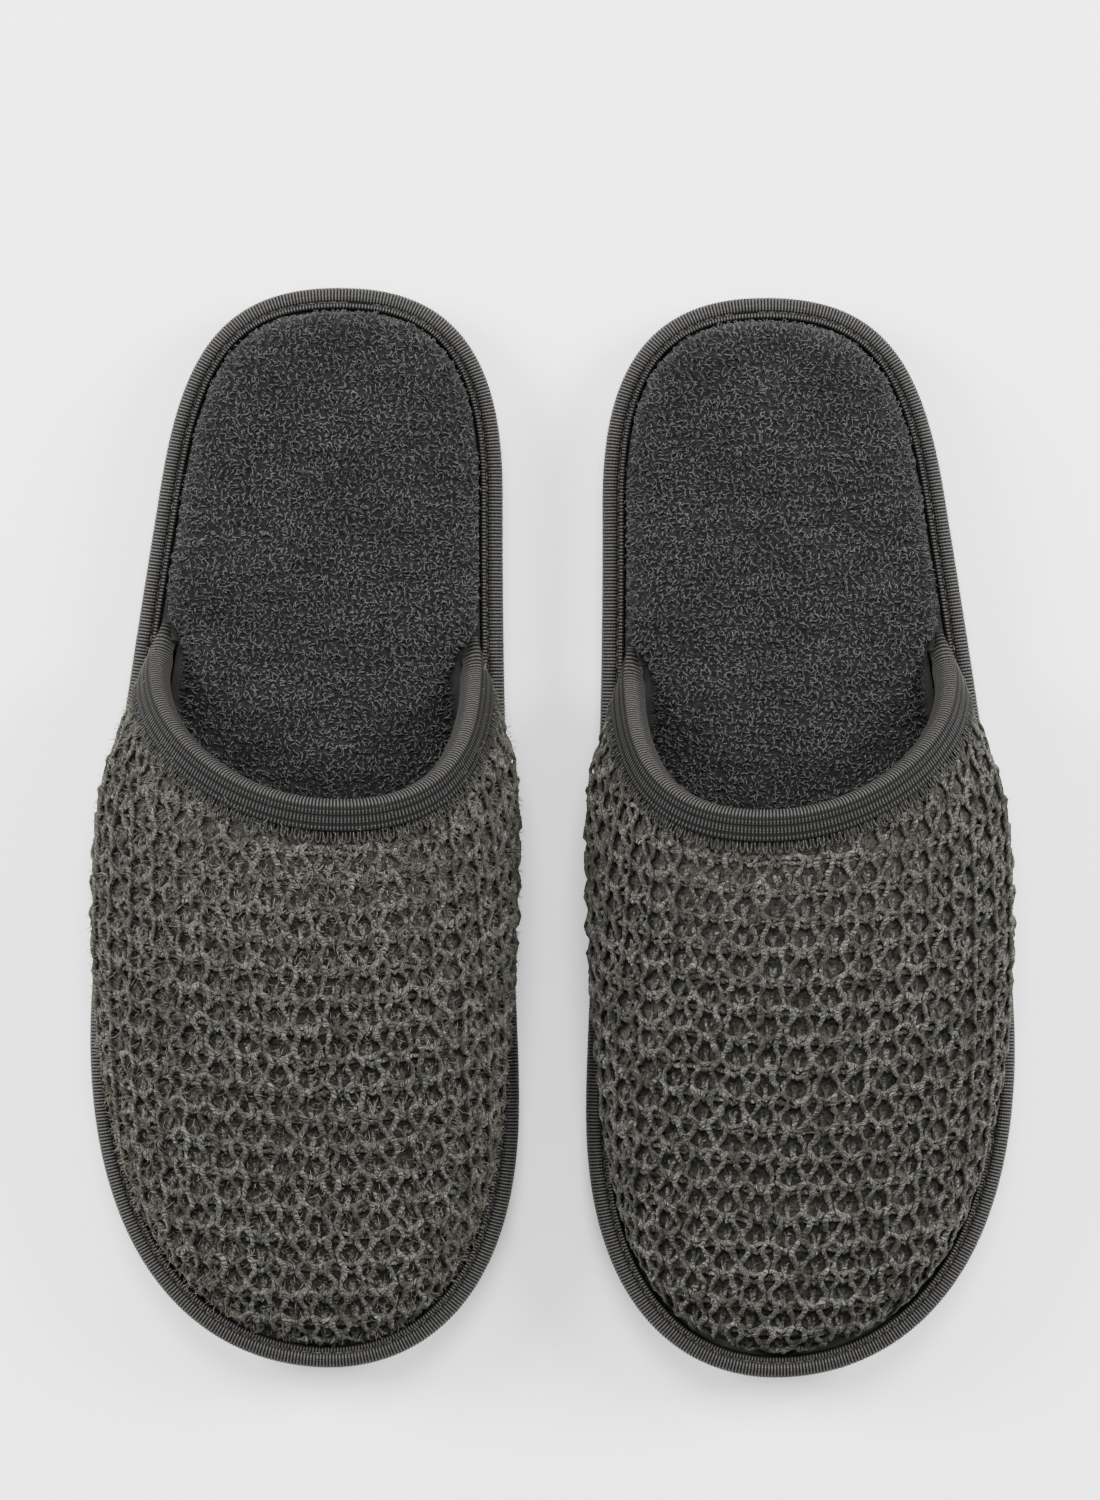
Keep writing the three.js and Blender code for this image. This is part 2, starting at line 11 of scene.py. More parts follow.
import bpy
import numpy as np
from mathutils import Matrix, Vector


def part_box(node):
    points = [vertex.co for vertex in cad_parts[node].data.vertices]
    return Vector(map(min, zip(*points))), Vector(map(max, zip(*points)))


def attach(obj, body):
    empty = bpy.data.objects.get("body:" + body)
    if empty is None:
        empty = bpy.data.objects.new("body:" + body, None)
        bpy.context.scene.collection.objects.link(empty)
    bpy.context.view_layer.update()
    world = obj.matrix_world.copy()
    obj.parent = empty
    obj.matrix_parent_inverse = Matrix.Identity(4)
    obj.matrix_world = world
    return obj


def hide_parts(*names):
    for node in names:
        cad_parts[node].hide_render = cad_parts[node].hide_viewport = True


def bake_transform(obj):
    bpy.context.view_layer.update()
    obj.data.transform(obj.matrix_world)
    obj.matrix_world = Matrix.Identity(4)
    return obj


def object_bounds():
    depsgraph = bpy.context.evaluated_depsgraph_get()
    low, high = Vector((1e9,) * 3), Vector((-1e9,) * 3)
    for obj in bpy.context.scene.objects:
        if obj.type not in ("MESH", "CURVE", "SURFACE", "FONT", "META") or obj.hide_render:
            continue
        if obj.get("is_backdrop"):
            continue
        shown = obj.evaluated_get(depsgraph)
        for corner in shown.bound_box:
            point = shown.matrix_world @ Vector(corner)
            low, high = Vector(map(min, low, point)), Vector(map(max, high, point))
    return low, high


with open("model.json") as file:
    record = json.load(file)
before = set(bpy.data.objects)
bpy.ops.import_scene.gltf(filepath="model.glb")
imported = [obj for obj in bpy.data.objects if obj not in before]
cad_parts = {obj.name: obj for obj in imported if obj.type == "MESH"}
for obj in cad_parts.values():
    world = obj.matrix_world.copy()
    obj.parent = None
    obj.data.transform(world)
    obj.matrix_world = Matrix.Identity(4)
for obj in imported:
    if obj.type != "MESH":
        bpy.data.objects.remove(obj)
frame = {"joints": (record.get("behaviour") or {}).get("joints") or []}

bl_info = {
    "name": "Spa slippers",
    "version": (1, 0, 0),
    "blender": (4, 5, 0),
    "location": "View3D > Sidebar > Slippers",
    "description": "Builds a pair of knitted spa slippers with plush footbeds",
    "category": "Add Mesh",
}

CAD_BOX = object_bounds()
MM = 0.001
SEED = 7

# ---- Sizes of one slipper, in millimetres -----------------------------------------------------

SOLE_LENGTH = 290.0
HEEL_TIP_SHIFT = 4.0
TOE_TIP_SHIFT = 9.5
HEEL_SIDE_AT = 55.0
INNER = dict(
    sign=1, heel_reach=46.3, heel_flare=0.05, ball_reach=59.4, ball_from_toe=65.0,
    heel_round=0.86, heel_ease=0.42, waist_ease=0.56, ball_ease=0.15, toe_ease=0.73,
    toe_round=0.51, collar_reach=45.5, collar_along=127.0, collar_sweep=33.0)
OUTER = dict(
    sign=-1, heel_reach=45.7, heel_flare=0.11, ball_reach=57.2, ball_from_toe=94.0,
    heel_round=0.71, heel_ease=0.67, waist_ease=0.66, ball_ease=0.14, toe_ease=0.68,
    toe_round=0.55, collar_reach=50.0, collar_along=118.0, collar_sweep=24.0)

SPRING_AT = 215.0
TOE_SPRING = 9.0

OUTSOLE_TOP = 3.5
MIDSOLE_BOTTOM = 5.2
BOARD_BOTTOM = 10.5
SEAT = 12.0
BINDING_CLEAR = 2.4
UPPER_INSET = 6.7
CUSHION_TUCK = 7.0

KNIT_THICKNESS = 3.0
PADDING_THICKNESS = 2.4
LINING_THICKNESS = 2.0
LAYER_GAP = 0.6
UPPER_BUILD = KNIT_THICKNESS + PADDING_THICKNESS + LINING_THICKNESS
EDGE_THINNING = 0.45
COLLAR_THINNING = 0.42
THROAT_HEIGHT = 50.0
SIDE_BULGE = 10.3
TOE_BULGE = 0.5
BULGE_FADE = (150.0, 275.0)
ROUNDEDNESS = 0.55
TOE_BLUNT = 0.68

COLLAR_START = 97.0
THROAT_AT = 139.6
THROAT_SHIFT = 5.0
COLLAR_END_HEIGHT = 4.5
COLLAR_RISE = 0.85
COLLAR_TAPE_WIDTH = 6.0

FLEX_AT = 77.0
FLEX_REACH = 20.0

# ---- Plan outline -----------------------------------------------------------------------------


def smooth(value, low, high):
    """Eases from 0 at low to 1 at high."""
    share = np.clip((np.asarray(value, float) - low) / (high - low), 0, 1)
    return share * share * (3 - 2 * share)


def bezier(points, share):
    """Points on a cubic curve."""
    p0, p1, p2, p3 = (np.asarray(p, float) for p in points)
    t = np.asarray(share, float)[..., None]
    return (1 - t) ** 3 * p0 + 3 * (1 - t) ** 2 * t * p1 + 3 * (1 - t) * t * t * p2 + t ** 3 * p3


def side_curves(side):
    """One side of the sole from the heel end to the toe tip, as three curves."""
    ball_at = SOLE_LENGTH - side["ball_from_toe"]
    heel_tip = np.array([HEEL_TIP_SHIFT, 0.0])
    heel = np.array([side["sign"] * side["heel_reach"], HEEL_SIDE_AT])
    ball = np.array([side["sign"] * side["ball_reach"], ball_at])
    toe_tip = np.array([TOE_TIP_SHIFT, SOLE_LENGTH])
    way = np.array([side["sign"] * side["heel_flare"], 1.0])
    way /= np.hypot(*way)
    waist = ball_at - HEEL_SIDE_AT
    heel_round = heel_tip[0] + (heel[0] - heel_tip[0]) * side["heel_round"]
    toe_round = toe_tip[0] + (ball[0] - toe_tip[0]) * side["toe_round"]
    return [
        [heel_tip, [heel_round, 0], heel - way * HEEL_SIDE_AT * side["heel_ease"], heel],
        [heel, heel + way * waist * side["waist_ease"],
         ball - [0, waist * side["ball_ease"]], ball],
        [ball, ball + [0, side["ball_from_toe"] * side["toe_ease"]],
         [toe_round, SOLE_LENGTH], toe_tip],
    ]


def side_line(side, inset=0.0):
    """That side as short steps drawn inwards by an inset: points and outward directions."""
    steps = np.linspace(0, 1, 161)
    line = np.vstack([bezier(curve, steps if k == 0 else steps[1:])
                      for k, curve in enumerate(side_curves(side))])
    way = np.gradient(line, axis=0)
    way /= np.linalg.norm(way, axis=1)[:, None]
    way[0] = [side["sign"], 0]
    way[-1] = [-side["sign"], 0]
    out = np.column_stack([way[:, 1], -way[:, 0]]) * side["sign"]
    return line - out * inset, out


def reach_at(side, inset, along):
    """How far from the axis that line stands at a distance along the sole."""
    line, _ = side_line(side, inset)
    return np.interp(along, line[:, 1], line[:, 0])


def lengths_along(points):
    """Running length at each point of a line."""
    steps = np.linalg.norm(np.diff(points, axis=0), axis=1)
    return np.concatenate([[0], np.cumsum(steps)])


def spring(along):
    """Height of the toe's curl."""
    return TOE_SPRING * (np.clip(np.asarray(along) - SPRING_AT, 0, None)
                         / (SOLE_LENGTH - SPRING_AT)) ** 2


def rim_path(pitch):
    """Points all round the sole's outline, evenly spaced, with outward directions."""
    outer, outer_out = side_line(OUTER)
    inner, inner_out = side_line(INNER)
    points = np.vstack([outer, inner[::-1][1:]])
    out = np.vstack([outer_out, inner_out[::-1][1:]])
    length = lengths_along(points)
    count = int(round(length[-1] / pitch / 2)) * 2
    at = np.linspace(0, length[-1], count, endpoint=False)
    return (np.column_stack([np.interp(at, length, points[:, k]) for k in (0, 1)]),
            np.column_stack([np.interp(at, length, out[:, k]) for k in (0, 1)]))

# ---- The upper's surface ----------------------------------------------------------------------


def feather_line(side, share):
    """Where the upper meets the board, at shares of the way from the collar end to the toe."""
    line, out = side_line(side, UPPER_INSET)
    start = reach_at(side, UPPER_INSET, COLLAR_START)
    keep = line[:, 1] > COLLAR_START
    first = int(np.argmax(keep))
    line = np.vstack([[start, COLLAR_START], line[keep]])
    out = np.vstack([out[first], out[keep]])
    length = lengths_along(line)
    at = share * length[-1]
    return (np.column_stack([np.interp(at, length, line[:, k]) for k in (0, 1)]),
            np.column_stack([np.interp(at, length, out[:, k]) for k in (0, 1)]))


def collar_line(side, share):
    """The collar seen from above, from its rear end to the middle of the throat."""
    start = [reach_at(side, UPPER_INSET, COLLAR_START), COLLAR_START]
    return bezier([
        start,
        [side["sign"] * side["collar_reach"], side["collar_along"]],
        [side["sign"] * side["collar_sweep"], THROAT_AT],
        [THROAT_SHIFT, THROAT_AT]], share)


def upper_face(around, up):
    """The upper's outer face. around: 0 outer rear end, 0.5 toe, 1 inner rear end. up: 0 board,
    1 collar. Both are arrays of one shape; gives x, along, height."""
    around = np.asarray(around, float)
    up = np.asarray(up, float)
    flat_around, flat_up = around.ravel(), up.ravel()
    share = np.where(flat_around <= 0.5, flat_around * 2, 2 - flat_around * 2)
    at = np.empty((share.size, 2))
    out = np.empty((share.size, 2))
    collar = np.empty((share.size, 2))
    for side, mask in ((OUTER, flat_around <= 0.5), (INNER, flat_around > 0.5)):
        at[mask], out[mask] = feather_line(side, share[mask])
        collar[mask] = collar_line(side, share[mask])
    climb = np.clip((collar[:, 1] - COLLAR_START) / (THROAT_AT - COLLAR_START), 0, 1)
    rise = COLLAR_END_HEIGHT + (THROAT_HEIGHT - COLLAR_END_HEIGHT) * climb ** COLLAR_RISE
    angle = flat_up * math.pi / 2
    inwards = 1 - np.cos(angle)
    upwards = inwards + (np.sin(angle) ** TOE_BLUNT - inwards) * ROUNDEDNESS
    start = BINDING_CLEAR / rise
    swell = np.sin(math.pi * np.clip((upwards - start) / (1 - start), 0, 1) ** 0.75)
    full = SIDE_BULGE + (TOE_BULGE - SIDE_BULGE) * smooth(at[:, 1], *BULGE_FADE)
    bulge = swell * full * smooth(rise, COLLAR_END_HEIGHT, 24)
    plan = at + (collar - at) * inwards[:, None] + out * bulge[:, None]
    height = SEAT + rise * upwards + spring(plan[:, 1])
    return np.column_stack([plan, height]).reshape(around.shape + (3,))


def as_space(points):
    """x, along, height as right-handed coordinates."""
    return points * [1, -1, 1]


def upper_normal(around, up):
    """Outward direction of the face, in right-handed coordinates."""
    nudge = 0.004
    low, high = np.clip(around - nudge, 0, 1), np.clip(around + nudge, 0, 1)
    below, above = np.clip(up - nudge, 0, 1), np.clip(up + nudge, 0, 1)
    along = as_space(upper_face(high, up) - upper_face(low, up))
    across = as_space(upper_face(around, above) - upper_face(around, below))
    normal = np.cross(along, across)
    return normal / np.linalg.norm(normal, axis=-1)[..., None]


def fullness(around, up, height):
    """How much of its thickness the padded upper keeps, thin at the board and its rear ends."""
    at_board = EDGE_THINNING + (1 - EDGE_THINNING) * smooth(height - SEAT, 0, 20)
    at_collar = 1 + (COLLAR_THINNING - 1) * smooth(up, 0.7, 1)
    at_end = EDGE_THINNING + (1 - EDGE_THINNING) * smooth(np.minimum(around, 1 - around), 0, 0.2)
    return np.minimum(np.minimum(at_board, at_collar), at_end)


def upper_layer(around, up, layers, clear=0.0):
    """A face inside the upper: layers is the thickness passed, clear the gaps passed."""
    face = as_space(upper_face(around, up))
    depth = layers * fullness(around, up, face[..., 2]) + clear
    points = face - upper_normal(around, up) * depth[..., None]
    base = SEAT + spring(-points[..., 1])
    points[..., 2] = np.where(up == 0, base, np.maximum(points[..., 2], base))
    return points


def face_lines(around, steps):
    """Lines up the face from each place, and the running length along each from its first step."""
    lines = upper_face(np.repeat(around[:, None], len(steps), 1), np.tile(steps, (len(around), 1)))
    spans = np.linalg.norm(np.diff(lines, axis=1), axis=2)
    return lines, np.concatenate([np.zeros((len(around), 1)), np.cumsum(spans, axis=1)], axis=1)


def up_at_distance(around, distance):
    """How far up the face a distance down from the collar lies, at each place."""
    steps = np.linspace(1, 0, 161)
    lengths = face_lines(around, steps)[1]
    distance = np.broadcast_to(distance, around.shape)
    return np.array([np.interp(d, line, steps) for d, line in zip(distance, lengths)])


def face_length(around):
    """Length of the face from board to collar at each place."""
    return face_lines(around, np.linspace(1, 0, 61))[1][:, -1]


def tape_width(around):
    """The collar tape's width, narrower where it runs down to the sole."""
    return np.minimum(COLLAR_TAPE_WIDTH, np.maximum(1.0, face_length(around) - BINDING_CLEAR))

# ---- Placing and making pieces ----------------------------------------------------------------


class Slipper:
    """One slipper of the pair: its foot, its place in the room and the bodies that carry it."""

    def __init__(self, foot):
        self.foot = foot
        self.mirror = 1 if foot == "right" else -1
        self.body = f"{foot}_slipper"
        self.heel = f"{foot}_heel"
        flex = next(j for j in frame["joints"] if j["name"] == f"{foot}_heel_flex")
        self.turn = math.atan2(flex["axis"][1], flex["axis"][0])
        self.origin = np.zeros(2)
        rim = np.vstack([side_line(side)[0] for side in (OUTER, INNER)])
        flat = self.place(np.column_stack([rim[:, 0], -rim[:, 1], rim[:, 0] * 0]))[:, :2]
        boxes = np.array([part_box(f"{foot}_sole_binding_{part}") for part in ("front", "heel")])
        centre = (boxes[:, 0].min(axis=0) + boxes[:, 1].max(axis=0))[:2] / 2
        self.origin = centre - (flat.min(axis=0) + flat.max(axis=0)) / 2

    def place(self, points):
        """Millimetres in the slipper's own frame to metres in the room."""
        points = np.asarray(points, float).reshape(-1, 3)
        x, y = points[:, 0] * self.mirror, points[:, 1]
        cos, sin = math.cos(self.turn), math.sin(self.turn)
        placed = np.column_stack([x * cos - y * sin, x * sin + y * cos, points[:, 2]]) * MM
        placed[:, :2] += self.origin
        return placed

    def aim(self, directions):
        """A direction in the slipper's own frame as a direction in the room."""
        directions = np.asarray(directions, float).reshape(-1, 3)
        x, y = directions[:, 0] * self.mirror, directions[:, 1]
        cos, sin = math.cos(self.turn), math.sin(self.turn)
        return np.column_stack([x * cos - y * sin, x * sin + y * cos, directions[:, 2]])

    def node(self, *names):
        """The frame's names of this slipper's nodes."""
        return [f"{self.foot}_{name}" for name in names]

    def bend(self, piece):
        """Works out the ends of the flex line, which nothing uses, and bakes the piece's place into its mesh.
        """
        start, end = self.place([[0, -FLEX_AT - FLEX_REACH, SEAT], [0, -FLEX_AT + FLEX_REACH, SEAT]])
        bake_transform(piece)


def both_slippers():
    return Slipper("right"), Slipper("left")


def grid_faces(rows, columns, closed_rows=False, closed_columns=False, first=0):
    """Quads over a grid of points, row by row."""
    row = np.arange(rows if closed_rows else rows - 1)[:, None]
    column = np.arange(columns if closed_columns else columns - 1)[None, :]
    next_row, next_column = (row + 1) % rows, (column + 1) % columns
    corners = [row * columns + column, next_row * columns + column,
               next_row * columns + next_column, row * columns + next_column]
    return np.stack([c + np.zeros_like(row + column) for c in corners], -1).reshape(-1, 4) + first


def turned_outwards(points, faces):
    """The faces, flipped if their closed body would be inside out."""
    corners = points[faces]
    volume = 0.0
    for a, b, c in ((0, 1, 2), (0, 2, 3)):
        volume += np.einsum("ij,ij->i", corners[:, a], np.cross(corners[:, b], corners[:, c])).sum()
    return faces if volume > 0 else faces[:, ::-1]


def make_piece(slipper, name, points, faces, material=None, closed=True):
    """A mesh object in the room from points in the slipper's own frame."""
    placed = slipper.place(points)
    faces = np.asarray(faces)
    if closed:
        faces = turned_outwards(placed, faces)
    corners = [tuple(dict.fromkeys(face)) for face in faces.tolist()]
    mesh = bpy.data.meshes.new(f"{slipper.foot}_{name}")
    mesh.from_pydata(placed.tolist(), [], corners)
    mesh.shade_smooth()
    if material:
        mesh.materials.append(material)
    piece = bpy.data.objects.new(mesh.name, mesh)
    bpy.context.collection.objects.link(piece)
    return piece


def add_values(piece, name, kind, values):
    """Stores one value per point on a piece."""
    field = "vector" if kind == "FLOAT_VECTOR" else "value"
    attribute = piece.data.attributes.new(name, kind, "POINT")
    attribute.data.foreach_set(field, np.asarray(values, np.float32).ravel())


def add_fabric_map(piece, name, across, down, span):
    """Lays a piece's points out flat: across and down in millimetres, span in metres."""
    layer = piece.data.uv_layers.new(name=name)
    corner = np.empty(len(piece.data.loops), int)
    piece.data.loops.foreach_get("vertex_index", corner)
    flat = np.column_stack([across.ravel(), down.ravel()]) * MM / span + 0.5
    layer.data.foreach_set("uv", flat[corner].astype(np.float32).ravel())


def shell(outer, inner):
    """Points and faces of a closed sheet with thickness between two grids of points."""
    rows, columns = outer.shape[:2]
    points = np.concatenate([outer.reshape(-1, 3), inner.reshape(-1, 3)])
    back = rows * columns
    faces = [grid_faces(rows, columns), grid_faces(rows, columns, first=back)[:, ::-1]]
    index = np.arange(back).reshape(rows, columns)
    rim = np.concatenate([index[:-1, 0], index[-1, :-1], index[:0:-1, -1], index[0, :0:-1]])
    onward = np.roll(rim, -1)
    faces.append(np.stack([rim, rim + back, onward + back, onward], -1))
    return points, np.concatenate(faces)


def swept_strip(sections, closed):
    """Points and faces of closed sections, one after the other, with capped ends if open."""
    stations, corners = sections.shape[:2]
    faces = [grid_faces(stations, corners, closed_rows=closed, closed_columns=True)]
    points = sections.reshape(-1, 3)
    if not closed:
        for first, flip in ((0, 1), ((stations - 1) * corners, -1)):
            half = corners // 2
            near = first + np.arange(half)
            far = first + corners - 1 - np.arange(half)
            cap = np.stack([near[:-1], near[1:], far[1:], far[:-1]], -1)
            faces.append(cap[:, ::flip])
    return points, np.concatenate(faces)


def plate(levels, pitch, narrowing=None, crown=0.0):
    """Points and faces of a flat sole piece from its levels: (inset, height) from the bottom."""
    path, out = rim_path(pitch)
    more = narrowing(path[:, 1])[:, None] if narrowing else 0
    rings = []
    for inset, height in levels:
        flat = path - out * (inset + more)
        rings.append(np.column_stack([flat[:, 0], -flat[:, 1], height + spring(flat[:, 1])]))
    count, half = len(path), len(path) // 2
    faces = [grid_faces(len(levels), count, closed_columns=True)]
    share = np.linspace(0, 1, 13)[1:-1]
    points = [np.concatenate(rings)]
    total = len(points[0])
    for level, flip in ((0, 1), (len(levels) - 1, -1)):
        ring = rings[level]
        left = ring[1:half]
        right = ring[:half:-1]
        inside = left[:, None] + (right - left)[:, None] * share[None, :, None]
        if flip < 0:
            inside[..., 2] += crown * (1 - (2 * share - 1) ** 2)
        points.append(inside.reshape(-1, 3))
        index = np.empty((half - 1, len(share) + 2), int)
        index[:, 0] = level * count + np.arange(1, half)
        index[:, -1] = level * count + np.arange(count - 1, half, -1)
        index[:, 1:-1] = total + np.arange(inside.shape[0] * len(share)).reshape(half - 1, -1)
        total += inside.shape[0] * len(share)
        quads = np.stack([index[:-1, :-1], index[1:, :-1], index[1:, 1:], index[:-1, 1:]], -1)
        ends = []
        for tip, row in ((level * count, index[0]), (level * count + half, index[-1])):
            fan = np.stack([np.full(len(row) - 1, tip), row[:-1], row[1:], row[1:]], -1)
            ends.append(fan if tip == level * count else fan[:, ::-1])
        faces.append(np.concatenate([quads.reshape(-1, 4)] + ends)[:, ::flip])
    return np.concatenate(points), np.concatenate(faces)

# ---- Building node trees ----------------------------------------------------------------------


class Web:
    """A node tree in the making: adds nodes and joins their sockets by name."""

    def __init__(self, tree):
        self.tree = tree
        tree.nodes.clear()

    def add(self, kind, settings=None, inputs=None):
        node = self.tree.nodes.new(kind)
        for name, value in (settings or {}).items():
            setattr(node, name, value)
        for name, value in (inputs or {}).items():
            self.feed(self.socket(node.inputs, name), value)
        return node

    @staticmethod
    def socket(sockets, name):
        if isinstance(name, int):
            return [s for s in sockets if s.enabled][name]
        return next(s for s in sockets if s.enabled and name in (s.name, s.identifier))

    def feed(self, socket, value):
        if isinstance(value, bpy.types.NodeSocket):
            self.tree.links.new(value, socket)
        else:
            socket.default_value = value

    def get(self, kind, settings=None, inputs=None, output=0):
        """Adds a node and gives one of its outputs."""
        node = self.add(kind, settings, inputs)
        return self.socket(node.outputs, output)

    def sum(self, operation, *values):
        return self.get("ShaderNodeMath", {"operation": operation}, dict(enumerate(values)))

    def vector(self, operation, *values):
        return self.get("ShaderNodeVectorMath", {"operation": operation}, dict(enumerate(values)))

    def lay_out(self):
        """Sets the nodes out in columns, so that the tree can be read."""
        depth = {node.name: 0 for node in self.tree.nodes}
        for _ in range(len(depth)):
            moved = False
            for link in self.tree.links:
                wanted = depth[link.from_node.name] + 1
                if depth[link.to_node.name] < wanted:
                    depth[link.to_node.name] = wanted
                    moved = True
            if not moved:
                break
        rows = {}
        for node in self.tree.nodes:
            column = depth[node.name]
            node.location = (column * 220, -rows.get(column, 0) * 260)
            rows[column] = rows.get(column, 0) + 1


def new_group(name, kind, inputs, outputs):
    """A node group with named sockets: gives its tree, web, inputs and output node."""
    tree = bpy.data.node_groups.new(name, kind)
    for socket_name, socket_kind, default in inputs:
        socket = tree.interface.new_socket(
            socket_name, in_out="INPUT", socket_type=f"NodeSocket{socket_kind}")
        if default is not None:
            socket.default_value = default
    for socket_name, socket_kind in outputs:
        tree.interface.new_socket(
            socket_name, in_out="OUTPUT", socket_type=f"NodeSocket{socket_kind}")
    web = Web(tree)
    entry = web.add("NodeGroupInput")
    exit_node = web.add("NodeGroupOutput")
    return tree, web, {s.name: s for s in entry.outputs if s.name}, exit_node


def grown(host, tree, values, name, material, slipper):
    """Runs a geometry tree on a host mesh and gives its result as a plain mesh piece."""
    modifier = host.modifiers.new(tree.name, "NODES")
    modifier.node_group = tree
    for item in tree.interface.items_tree:
        if item.in_out == "INPUT" and item.name in values:
            modifier[item.identifier] = values[item.name]
    bpy.context.view_layer.update()
    made = host.evaluated_get(bpy.context.evaluated_depsgraph_get())
    mesh = bpy.data.meshes.new_from_object(made)
    host.modifiers.remove(modifier)
    if len(mesh.vertices) == 0:
        raise RuntimeError(f"{tree.name} made nothing for {name}")
    mesh.name = f"{slipper.foot}_{name}"
    mesh.materials.clear()
    mesh.materials.append(material)
    mesh.shade_smooth()
    piece = bpy.data.objects.new(mesh.name, mesh)
    bpy.context.collection.objects.link(piece)
    return piece

# ---- Geometry trees ---------------------------------------------------------------------------


def strand_mesh(web, points, radius, steps, sides=5, taper=False):
    """A short round strand along one curve. points are start, two handles and end, in mm."""
    start, first, second, end = (tuple(c * MM for c in p) for p in points)
    curve = web.get("GeometryNodeCurvePrimitiveBezierSegment", None, {
        "Resolution": steps, "Start": start, "Start Handle": first,
        "End Handle": second, "End": end})
    along = web.add("GeometryNodeSplineParameter")
    curve = web.get("GeometryNodeStoreNamedAttribute", {"data_type": "FLOAT", "domain": "POINT"}, {
        "Geometry": curve, "Name": "strand_along", "Value": along.outputs["Length"]})
    circle = web.get("GeometryNodeCurvePrimitiveCircle", None, {"Resolution": sides, "Radius": radius})
    circle = web.get("GeometryNodeStoreNamedAttribute", {"data_type": "FLOAT", "domain": "POINT"}, {
        "Geometry": circle, "Name": "strand_round", "Value": along.outputs["Factor"]})
    inputs = {"Curve": curve, "Profile Curve": circle, "Fill Caps": True}
    if taper:
        thin = web.get("ShaderNodeMapRange", None, {
            "Value": along.outputs["Factor"], "From Min": 0.0, "From Max": 1.0,
            "To Min": 1.0, "To Max": 0.25})
        inputs["Scale"] = thin
    return web.get("GeometryNodeCurveToMesh", None, inputs)


def sampled(web, surface, value, kind, where, map_name):
    """A value read off the surface at a place on its fabric map, and whether there is one."""
    chart = web.get("GeometryNodeInputNamedAttribute", {"data_type": "FLOAT_VECTOR"}, {"Name": map_name})
    return web.add("GeometryNodeSampleUVSurface", {"data_type": kind}, {
        "Mesh": surface, "Value": value, "Source UV Map": chart, "Sample UV": where})


